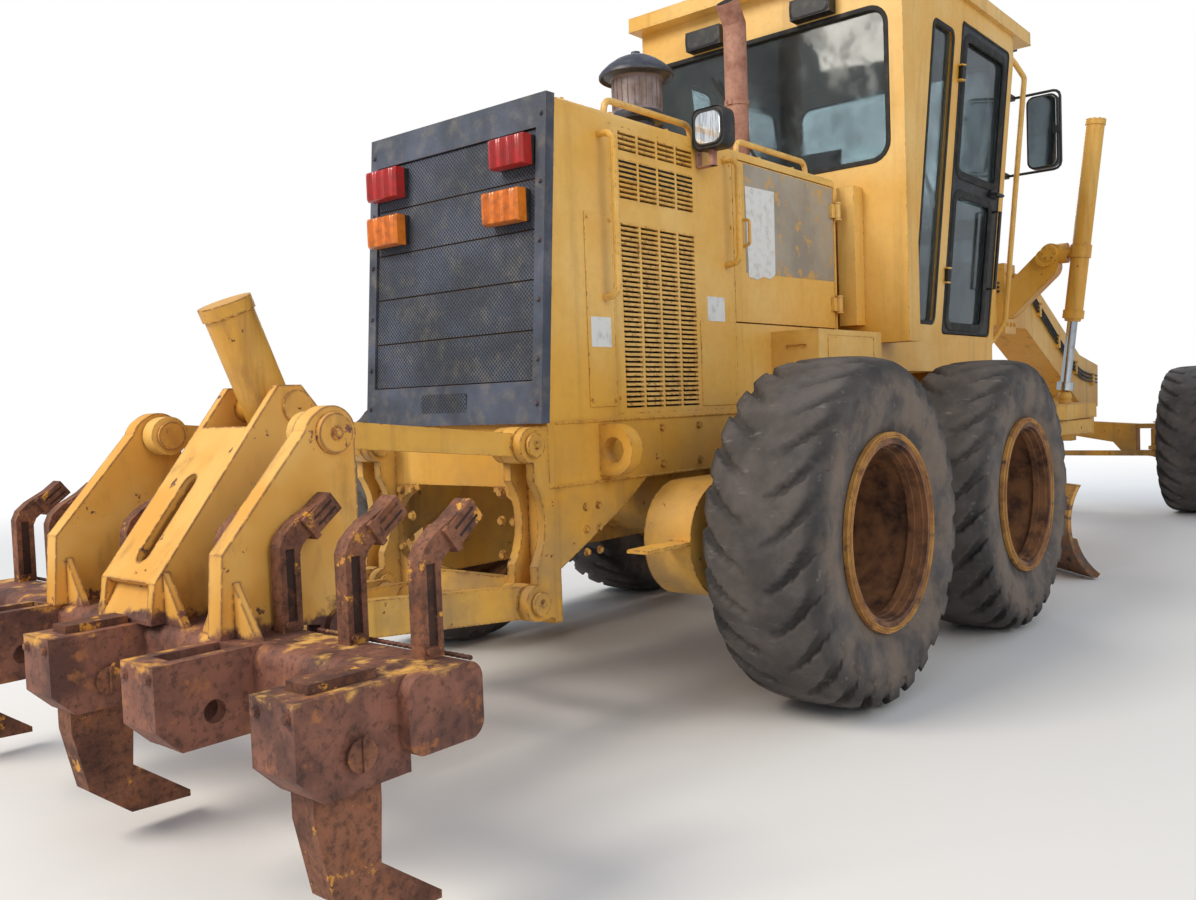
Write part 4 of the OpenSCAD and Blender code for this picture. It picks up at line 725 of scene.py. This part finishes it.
# Operator's seat: a sprung seat with a crowned foam cushion and back in worn black vinyl, sewn
# across in panels. Its pedestal is a bolted steel box, and the levers stand on the console.
def cushion(size, place, seams, cells=28):
    """A crowned pad: size is its (length, width, thickness), place turns and moves it."""
    mesh = bmesh.new()
    length, width, thick = size
    for top in (1, -1):
        rows = []
        for i in range(cells + 1):
            row = []
            for j in range(cells + 1):
                u, v = 2 * i / cells - 1, 2 * j / cells - 1
                edge = (1 - abs(u) ** 5) * (1 - abs(v) ** 5)
                pull = 0.009 * (1 - u * u) * v
                seam = min(abs(u - s) for s in seams)
                dent = 0.012 * math.exp(-(seam / 0.035) ** 2) if top > 0 else 0.0
                lift = (thick / 2) * edge ** 0.35 - dent * edge
                row.append(mesh.verts.new(place @ Vector((u * length / 2 * (1 - 0.02 * v * v),
                                                          (v - pull) * width / 2, top * lift))))
            rows.append(row)
        for i, j in product(range(cells), range(cells)):
            mesh.faces.new((rows[i][j], rows[i + 1][j], rows[i + 1][j + 1], rows[i][j + 1]))
    bmesh.ops.remove_doubles(mesh, verts=mesh.verts, dist=0.0008)
    return mesh


def tipped(x, z, angle):
    return Matrix.Translation(at(x, 0, z)) @ Matrix.Rotation(math.radians(angle), 4, "Y")


m = Finish("worn_vinyl", Roughness=0.55)
m.feed("Base Color", m.over(m.patches(9, 6, 0.5, 0.75, 0.7), "#1b1a19", "#4a4339"))
m.bump(0.4, 0.0008, m.cloud(420, 3))
vinyl = m.material
seat_mesh = cushion((0.49, 0.49, 0.120), tipped(1.210, 1.825, -3), (-0.45, 0.0, 0.45))
seat_pad = piece("seat_cushion", seat_mesh, vinyl, "rear_frame")
back_mesh = cushion((0.62, 0.47, 0.105), tipped(0.972, 2.175, -81.5), (-0.5, -0.1, 0.3))
back_pad = piece("seat_back", back_mesh, vinyl, "rear_frame")
pedestal = bmesh.new()
slab(pedestal, at(1.04, -0.13, 1.435), at(1.34, 0.13, 1.70))
slab(pedestal, at(1.00, -0.20, 1.70), at(1.42, 0.20, 1.765))
for side in sides:
    slab(pedestal, at(1.02, side * 0.245, 2.02), at(1.34, side * 0.30, 2.065))
    tube(pedestal, [at(1.04, side * 0.23, 1.90), at(1.03, side * 0.262, 2.03)], 0.014)
piece("seat_pedestal", pedestal, black_paint, "rear_frame", 0.008)
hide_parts("seat")

coat(black_paint, "console")
levers = bmesh.new()
for i in range(8):
    y = -0.23 + 0.066 * i
    tube(levers, [at(1.900, y, 1.95), at(1.850, y, 2.12), at(1.835, y, 2.20)], 0.006)
    rod(levers, at(1.837, y, 2.19), at(1.829, y, 2.235), 0.013, 0.016)
slab(levers, at(1.86, -0.27, 1.86), at(1.96, 0.27, 1.96))
piece("control_levers", levers, black_paint, "rear_frame", 0.004)


# Engine, radiator and transmission: grey-brown cast iron under oily dust.
# They are one plain block under the hood, seen only through the louvres and an open door.
coat(rusted("oily_iron", "#4a4740", "#6c675c"), "engine")


# Tyres: bias-ply grader tyres with a traction tread, worn almost smooth in the middle.
# Each side has curved bars that sweep back from the middle to the shoulder, half a pitch apart.
tyre_radius, tyre_half, bars = 0.640, 0.220, 26
lots = random.Random(3)
wear = [lots.uniform(0.72, 1.0) for _ in range(2 * bars)]


def tyre_profile():
    """(radius, across) from the inner bead over the tread to the outer bead, with the tread share."""
    knots = [(0.336, 0.170, 0), (0.352, 0.188, 0), (0.395, 0.198, 0), (0.440, 0.212, 0), (0.475, 0.2195, 0),
             (0.530, 0.2195, 0), (0.552, 0.2185, 0.45), (0.585, 0.213, 1), (0.608, 0.200, 1),
             (0.622, 0.180, 1), (0.630, 0.150, 1), (0.636, 0.110, 1), (0.639, 0.055, 1), (0.640, 0.0, 1)]
    fine = []
    for a, b in zip(knots, knots[1:]):
        steps = max(1, round(math.hypot(b[0] - a[0], b[1] - a[1]) / (0.009 if b[2] else 0.03)))
        fine += [tuple(p + (q - p) * k / steps for p, q in zip(a, b)) for k in range(steps)]
    fine.append(knots[-1])
    return fine + [(r, -y, t) for r, y, t in fine[-2::-1]]


def ramp(value, low, high):
    return min(1.0, max(0.0, (value - low) / (high - low)))


def groove(angle, across):
    """How deep the tread is cut at this angle and distance from the middle, from 0 to 1."""
    outer = 1 if across > 0 else 0
    share = abs(across) / tyre_half
    sweep = 1.25 * share ** 1.7
    turn = (angle * bars / (2 * math.pi) + 0.5 * outer - sweep) % bars
    lug, phase = int(turn), turn % 1.0
    worn = wear[(lug * 2 + outer) % len(wear)]
    ragged = 0.025 * math.sin(share * 31 + lug * 2.1) + 0.018 * math.sin(share * 73 + lug)
    width = 0.085 + 0.22 * max(0.0, share - 0.40) * worn
    cut = 1 - ramp(abs(phase - 0.5 + ragged), width, width + 0.04)
    return cut * cut * (3 - 2 * cut) * ramp(share, 0.12, 0.22) * worn


def make_tyre(around=520):
    profile = tyre_profile()
    verts, faces = [], []
    rough = random.Random(7)
    for i in range(around):
        a = 2 * math.pi * i / around
        for r, y, t in profile:
            depth = groove(a, y) * t * (0.007 + 0.024 * min(1.0, abs(y) / 0.17))
            ring = 0.0022 if 0.405 < r < 0.415 or 0.487 < r < 0.497 else 0.0
            radius = min(r - depth + ring * 0.5 + (rough.random() - 0.5) * 0.0006, tyre_radius)
            side = y * (1 - 0.05 * groove(a, y) * (1 - abs(2 * t - 1))) + math.copysign(ring, y)
            side = max(-tyre_half, min(tyre_half, side))
            verts.append((radius * math.sin(a), side, radius * math.cos(a)))
    n = len(profile)
    for i, k in product(range(around), range(n)):
        j, m = (i + 1) % around, (k + 1) % n
        faces.append((i * n + k, i * n + m, j * n + m, j * n + k))
    mesh = bpy.data.meshes.new("tyre")
    mesh.from_pydata(verts, [], faces)
    for face in mesh.polygons:
        face.use_smooth = True
    mesh.update()
    return mesh


def dusty_rubber():
    m = Finish("tyre_rubber", Roughness=0.82)
    x, _, z = m.place()
    out = m.length(x, 0.0, z)
    base = m.over(m.patches(5, 5, 0.35, 0.68), "#3a3736", "#575250")
    wall = m.band(out, 0.60, 0.50)
    dust = m.times(m.times(m.patches(7, 6, 0.34, 0.66, shift=4), 0.8), m.maths("ADD", wall, 0.25))
    base = m.over(m.times(dust, 0.85), base, "#746558")
    # Darker between 0.60 and 0.63 m from the axle, in the groove floors and round the shoulder: painted
    # shade.
    groove_shade = m.times(m.band(out, 0.628, 0.612), m.band(out, 0.55, 0.60))
    base = m.over(m.times(groove_shade, 0.5), base, "#1f1e1e")
    scuffs = m.patches(34, 6, 0.60, 0.72, 0.5, (1, 0.25, 1), 6)
    m.feed("Base Color", m.over(scuffs, base, "#7b7775"))
    m.bump(0.45, 0.004, m.maths("ADD", m.cloud(70, 6, rough=0.7), m.cloud(13, 4)))
    return m.material


tyre_mesh = make_tyre()
tyre_mesh.materials.append(dusty_rubber())
tandem_x, front_x = 0.7615, 6.086
wheels = {
    "rear_right": (-tandem_x, -1.060), "rear_left": (-tandem_x, 1.060), "mid_right": (tandem_x, -1.060),
    "mid_left": (tandem_x, 1.060), "front_right": (front_x, -1.040), "front_left": (front_x, 1.040),
}
for number, (word, (x, y)) in enumerate(wheels.items()):
    tyre = bpy.data.objects.new(f"tread_{word}", tyre_mesh)
    tyre.location = at(x, y, tyre_radius)
    tyre.rotation_euler = (0, math.radians(90 * number), 0 if y < 0 else math.pi)
    bpy.context.scene.collection.objects.link(tyre)
    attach(tyre, f"wheel_{word}")
    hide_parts(f"tyre_{word}")


# Rims: three-piece steel rims with a deep dish. The paint has gone from the dish, which is rusty and
# coloured darker still as painted shade, and holds on the outer flange, where it shows as an orange-yellow
# ring.
def rim_finish(name, x):
    m = Finish(name, Roughness=0.7)
    part = m.place()
    centre = at(x, 0, tyre_radius)
    out = m.length(m.maths("SUBTRACT", part[0], centre.x), m.maths("SUBTRACT", part[2], centre.z))
    # The dish's rust colours are darker than the rust alone: painted shade in the deep dish.
    rust = m.over(m.patches(7, 6, 0.36, 0.64), "#33201a", "#57372a")
    rust = m.over(m.patches(40, 6, 0.5, 0.7, 0.6, shift=3), rust, "#211512")
    wall = m.times(m.band(out, 0.270, 0.300), m.patches(11, 6, 0.30, 0.62, shift=6))
    rust = m.over(m.times(wall, 0.8), rust, "#94653f")
    lip = m.times(m.band(out, 0.337, 0.342), m.patches(19, 6, 0.33, 0.46, shift=5))
    paint = m.over(m.patches(9, 4, 0.4, 0.65, shift=2), "#bd8a42", "#94602f")
    left = m.times(m.patches(12, 7, 0.60, 0.66, shift=8, rough=0.72), 0.55)
    m.feed("Base Color", m.over(left, m.over(lip, rust, paint), "#9a6430"))
    m.bump(0.5, 0.002, m.cloud(80, 6, rough=0.7))
    return m.material


rim_places = {-tandem_x: "rear", tandem_x: "mid", front_x: "front"}
rim_paints = {x: rim_finish(f"rim_{word}", x) for x, word in rim_places.items()}
for word, (x, y) in wheels.items():
    coat(rim_paints[x], f"rim_{word}")
    out = Y if y > 0 else -Y
    hub = at(x, y, tyre_radius)
    nuts = bmesh.new()
    for p in round_about(hub - out * 0.038, 0.126, 12, X, Z):
        bolt(nuts, p, out, 0.015)
    rod(nuts, hub - out * 0.070, hub - out * 0.022, 0.084, 0.078, 40)
    rod(nuts, hub - out * 0.022, hub - out * 0.010, 0.050, 0.044, 32)
    for p in round_about(hub - out * 0.022, 0.064, 6, X, Z):
        bolt(nuts, p, out, 0.007)
    for radius in (0.343, 0.352):
        ring = round_about(hub + out * 0.2165, radius, 96, X, Z)
        tube(nuts, ring + ring[:1], 0.0022, 6)
    piece(f"wheel_nuts_{word}", nuts, rim_paints[x], f"wheel_{word}")


# Ripper: a welded beam with shank pockets, hung on parallel links, all rusted where soil rubs it.
# The links and upright arms keep their yellow paint; the beam, pockets and teeth have lost it.
# Each scarifier tooth ends in a wedge tip on a staple, and each shank has its pin's spring clips.
def arm_and_beam():
    m = Finish("ripper_enamel", Roughness=0.72)
    wobble = m.times(m.maths("SUBTRACT", m.cloud(9, 6), 0.5), 0.22)
    low = m.band(m.maths("ADD", m.place()[2], wobble), 0.62, 0.59)
    paint = m.over(m.patches(2.5, 3, 0.38, 0.62), "#d69a3e", "#e0ad5a")
    paint = m.over(m.patches(8, 6, 0.52, 0.72, 0.5, (1, 1, 0.4), 3), paint, "#8f6230")
    bare = m.times(m.worn_edges(0.012), m.patches(45, 5, 0.36, 0.5, shift=2))
    gone = m.most(m.most(bare, m.patches(17, 6, 0.64, 0.67, shift=7, rough=0.66)), low)
    rust = m.over(m.patches(6, 6, 0.36, 0.64, shift=1), "#55342a", "#875643")
    rust = m.over(m.patches(50, 6, 0.48, 0.66, 0.6, shift=4, rough=0.7), rust, "#2e1a14")
    rust = m.over(m.patches(14, 6, 0.58, 0.70, 0.7, shift=9), rust, "#a5683a")
    m.feed("Base Color", m.over(gone, paint, rust))
    m.bump(0.6, 0.003, m.times(m.cloud(85, 7, rough=0.7), gone))
    return m.material


ripper_enamel = arm_and_beam()
ground_rust = rusted("ground_rust", "#5b3728", "#8c5a40", 0.35, 0.004)
# A very dark rust finish, used as painted shade in the teeth's slots.
slot_rust_and_shade = rusted("slot_rust_and_shade", "#25150f", "#452a1e")
coat(ripper_enamel, "ripper_carriage")
coat(ground_rust, "ripper_teeth")
bracket_x, link_x, shank_x, tooth_x = -1.777, -2.585, -3.034, -2.792
shank_pitch, tooth_pitch = 0.534, 0.267

pins = bmesh.new()
carriage = bmesh.new()
for side in sides:
    for z, (y, out) in product((0.481, 1.010), ((0.478, 1), (0.322, -1))):
        rod(pins, at(bracket_x, side * y, z), at(bracket_x, side * (y + out * 0.012), z), 0.040, sides=28)
        bolt(pins, at(bracket_x, side * (y + out * 0.010), z), side * out * Y, 0.011)
    for z, y in product((0.62, 0.74, 0.84), (0.30, 0.24)):
        bolt(pins, at(-1.702, side * y, z), -X, 0.015)
    for z in (0.558, 1.087):
        rod(carriage, at(link_x, side * 0.495, z), at(link_x, side * 0.512, z), 0.058, 0.054, 28)
        bolt(carriage, at(link_x, side * 0.512, z), side * Y, 0.014)
    rod(carriage, at(-2.460, side * 0.150, 1.165), at(-2.460, side * 0.160, 1.165), 0.050, sides=28)
    for i in range(-2, 3):
        bolt(carriage, at(-3.178, i * shank_pitch + side * 0.052, 0.560), -X, 0.010)
    weld = [at(-2.735 + 0.004 * (i % 2), side * (0.60 + 0.01 * i), 0.5905) for i in range(57)]
    tube(carriage, weld, 0.006, 6)
piece("bracket_pins", pins, cast_paint, "rear_frame")
piece("carriage_pins", carriage, ripper_enamel, "ripper_carriage")

clips = bmesh.new()
slots = bmesh.new()
for i, side in product((-2, 0, 2), sides):
    y = i * shank_pitch + side * 0.093
    rod(clips, at(shank_x, y - side * 0.005, 0.458), at(shank_x, y, 0.458), 0.036, sides=24)
    spring = ((shank_x, 0.003, 0.425), (shank_x, 0.004, 0.491), (shank_x + 0.012, 0.004, 0.502))
    tube(clips, [at(x, y + side * out, z) for x, out, z in spring], 0.004, 8)
for i in range(-4, 5):
    y = i * tooth_pitch
    tip = Matrix.Translation(at(-2.676, y, 0.868)) @ Matrix.Rotation(math.radians(-38), 4, "Y")
    slab(clips, (-0.040, -0.029, -0.020), (0.060, 0.029, 0.037), tip)
    slab(clips, (-0.052, -0.034, -0.026), (-0.034, 0.034, 0.043), tip)
    rod(clips, at(tooth_x, y - 0.028, 0.607), at(tooth_x, y + 0.028, 0.607), 0.009, sides=16)
    for side in sides:
        # A dark plate in the bottom of the tooth's slot: painted shade in the slot.
        slab(slots, at(-2.7895, y + side * 0.0158, 0.616), at(-2.7645, y + side * 0.0166, 0.798))
        # Two thin dark strips on each side of the tip: painted shade of narrow slots.
        for foot in (-0.006, 0.016):
            slab(slots, (-0.022, side * 0.0285, foot), (0.048, side * 0.0295, foot + 0.007), tip)
piece("tooth_slots", slots, slot_rust_and_shade, "ripper_carriage")
piece("tooth_clips", clips, ground_rust, "ripper_carriage", 0.003)


# Chromed rods: ground and polished steel with a thin film of oil and a little dust on it.
# They belong to the ripper's, the lift and the side shift cylinders.
chrome = mottled("hard_chrome", "#c6cacc", "#8d7c66", (16, 6, 0.5, 0.8, 0.6), Metallic=1.0, Roughness=0.16)
coat(chrome, "ripper_rod", "lift_rod_right", "lift_rod_left", "shift_rod")


# Front frame: a box beam that arches over the blade, with steel oil lines clamped along its side.
# The lift cylinders hang in the saddle's trunnions, and a steel line runs down each barrel.
beam_route = ((2.45, 1.17), (2.72, 1.62), (2.95, 1.93), (3.30, 1.97), (4.30, 1.97), (4.60, 1.86),
              (5.30, 1.52), (5.75, 1.34), (6.30, 1.28))
clip_places = ((2.95, 1.84), (3.45, 1.885), (4.15, 1.885), (4.60, 1.775), (5.10, 1.53), (5.60, 1.31),
               (6.15, 1.20))
saddle_y, saddle_z = 0.530, 2.105
pipes = bmesh.new()
clips = bmesh.new()
for side in sides:
    for line in range(3):
        route = [at(x, side * 0.176, z - 0.05 - 0.032 * line) for x, z in beam_route]
        tube(pipes, curve_through(route), 0.009, 8)
    for x, z in clip_places:
        slab(clips, at(x - 0.02, side * 0.160, z - 0.06), at(x + 0.02, side * 0.190, z + 0.055))
        bolt(clips, at(x, side * 0.190, z + 0.045), side * Y, 0.008)
    for x, z in product((3.68, 3.76, 3.84), (1.62, 1.99)):
        bolt(clips, at(x, side * 0.220, z), side * Y, 0.014)
    cap = at(3.640, side * saddle_y, saddle_z)
    rod(clips, cap + X * 0.062, cap, 0.062, 0.056, 32)
    for p in round_about(cap, 0.040, 6, Y, Z):
        bolt(clips, p, -X, 0.007)
piece("oil_lines", pipes, black_paint, "front_frame")
piece("beam_clips", clips, frame_paint, "front_frame")

for side, word in words.items():
    pivot, foot = at(3.760, side * 0.722, saddle_z), at(3.755, side * 0.597, 1.115)
    way = (foot - pivot).normalized()
    barrel = bmesh.new()
    rod(barrel, pivot + way * 0.475, pivot + way * 0.500, 0.060, 0.052, 32)
    for along in (-0.915, 0.42):
        port = pivot + way * along
        rod(barrel, port + X * 0.050, port + X * 0.094, 0.019, sides=6)
    line = ((-0.915, 0.085), (-0.90, 0.110), (-0.60, 0.098), (0.30, 0.098), (0.42, 0.090))
    tube(barrel, curve_through([pivot + way * along + X * out for along, out in line]), 0.010)
    for p in round_about(pivot - way * 0.920, 0.048, 8, X, Vector((0, way.z, -way.y))):
        bolt(barrel, p, -way, 0.008)
    piece(f"lift_line_{word}", barrel, frame_paint, f"lift_barrel_{word}")


# Circle and drawbar: a rolled ring with teeth cut round its inside, turned by a hydraulic drive
# that is bolted on the drawbar's deck. Both are thick with old paint, grease and dust.
circle_x, drive_x, guide_radius = 3.74, 4.275, 0.795
drive = bmesh.new()
for p in round_about(at(drive_x, 0, 1.050), 0.145, 10, X, Y, math.radians(18)):
    bolt(drive, p, Z, 0.011)
for p in round_about(at(drive_x, 0, 1.110), 0.100, 6, X, Y):
    bolt(drive, p, Z, 0.010)
rod(drive, at(drive_x, 0, 1.190), at(drive_x, 0, 1.204), 0.054, 0.048, 32)
rod(drive, at(drive_x, 0, 1.204), at(drive_x, 0, 1.212), 0.030, 0.026, 24)
for angle, t in product((50, 130, 230, 310), (-0.045, 0.045)):
    c, s = math.cos(math.radians(angle)), math.sin(math.radians(angle))
    bolt(drive, at(circle_x + guide_radius * c - t * s, guide_radius * s + t * c, 0.945), Z, 0.014)
piece("circle_drive", drive, cast_paint, "drawbar")


# Moldboard: a curved, rolled plate with hardened cutting edges bolted along its foot and an end
# bit at each end. Soil has polished the edges, and the paint is gone from the face above them.
blade_angle, blade_shift, blade_lean = math.radians(-45), 0.060, math.radians(10)
chord, curve_r, plate = 0.560, 0.413, 0.022
chord_off = math.sqrt(curve_r ** 2 - chord ** 2 / 4)
curve_x = -0.210 - chord / 2 * math.sin(blade_lean) + chord_off * math.cos(blade_lean)
curve_z = 0.010 + chord / 2 * math.cos(blade_lean) + chord_off * math.sin(blade_lean)
bit_inner, bit_outer, edge_foot = 1.63, 1.826, 0.011
edge_thick, bit_thick = 0.016, 0.026


def on_blade(x, y, z):
    """A point in the blade's own frame, whose Y runs along the blade from its middle."""
    c, s = math.cos(blade_angle), math.sin(blade_angle)
    y -= blade_shift
    return at(circle_x + c * x - s * y, s * x + c * y, z)


def blade_face(z):
    """Where the plate's hollow face is at height z, and the way out of it."""
    x = curve_x - math.sqrt(curve_r ** 2 - (z - curve_z) ** 2)
    return x, Vector((curve_x - x, curve_z - z)).normalized()


def blade_finish():
    m = Finish("blade_enamel", Roughness=0.6)
    low = m.band(m.maths("SUBTRACT", m.place()[2], m.times(m.cloud(5, 5), 0.30)), 0.24, 0.02)
    paint = m.over(m.patches(2, 3, 0.38, 0.62), "#cf8d2e", "#d9a24a")
    paint = m.over(m.patches(12, 6, 0.5, 0.7, 0.65, (1, 1, 0.25), 3), paint, "#7d5128")
    scrapes = m.patches(22, 7, 0.54, 0.62, 1.0, (0.3, 0.3, 1.6), 7)
    bare = m.most(m.most(m.worn_edges(0.010), scrapes), low)
    steel = m.over(m.patches(30, 6, 0.38, 0.6, shift=2), "#57493d", "#8a5a38")
    m.feed("Base Color", m.over(bare, paint, steel))
    m.bump(0.5, 0.002, m.cloud(75, 6, rough=0.7))
    return m.material


coat(blade_finish(), "moldboard")
edge_steel = mottled("edge_steel", "#5a5550", "#84572f", (18, 6, 0.38, 0.62), Metallic=0.6, Roughness=0.5)
edges = bmesh.new()
end_bits = [(-bit_outer, -bit_inner, bit_thick, 0.24), (bit_inner, bit_outer, bit_thick, 0.24)]
long_edges = [(-1.628, -0.002, edge_thick, 0.165), (0.002, 1.628, edge_thick, 0.165)]
for start, end, thick, top in end_bits + long_edges:
    rings = []
    for k in range(7):
        z = edge_foot + (top - edge_foot) * k / 6
        x, way = blade_face(z)
        rings.append([on_blade(x + way.x * t, y, max(z + way.y * t, edge_foot))
                      for y, t in ((start, 0), (start, thick), (end, thick), (end, 0))])
    loft(edges, rings)
piece("cutting_edges", edges, edge_steel, "moldboard", 0.002)
heads = bmesh.new()
bolt_z = 0.12
x, way = blade_face(bolt_z)
for i in range(24):
    y = -1.725 + 0.150 * i
    if abs(abs(y) - bit_inner) < 0.02:
        continue
    thick = bit_thick if abs(y) > bit_inner else edge_thick
    back, base, front = (on_blade(x + way.x * t, y, bolt_z + way.y * t) for t in (-plate, thick, thick + 0.1))
    out = (front - base).normalized()
    rod(heads, base - out * 0.004, base + out * 0.006, 0.015, 0.011, 16)
    bolt(heads, back, -out, 0.013)
piece("edge_bolts", heads, edge_steel, "moldboard")


# Front axle: a cast beam with steering knuckles, tie rod and grease fittings.
# The king pins' caps are bolted on above and below each end of the beam.
king_y = 0.740
caps = bmesh.new()
for side in sides:
    for z, way in ((0.790, 1), (0.490, -1)):
        end = at(front_x, side * king_y, z + way * 0.010)
        rod(caps, at(front_x, side * king_y, z), end, 0.046, sides=28)
        bolt(caps, end, way * Z, 0.012)
    for y, way in product((0.30, 0.42), (-1, 1)):
        bolt(caps, at(front_x + way * 0.080, side * y, 0.72), way * X, 0.012)
piece("axle_caps", caps, frame_paint, "front_frame")
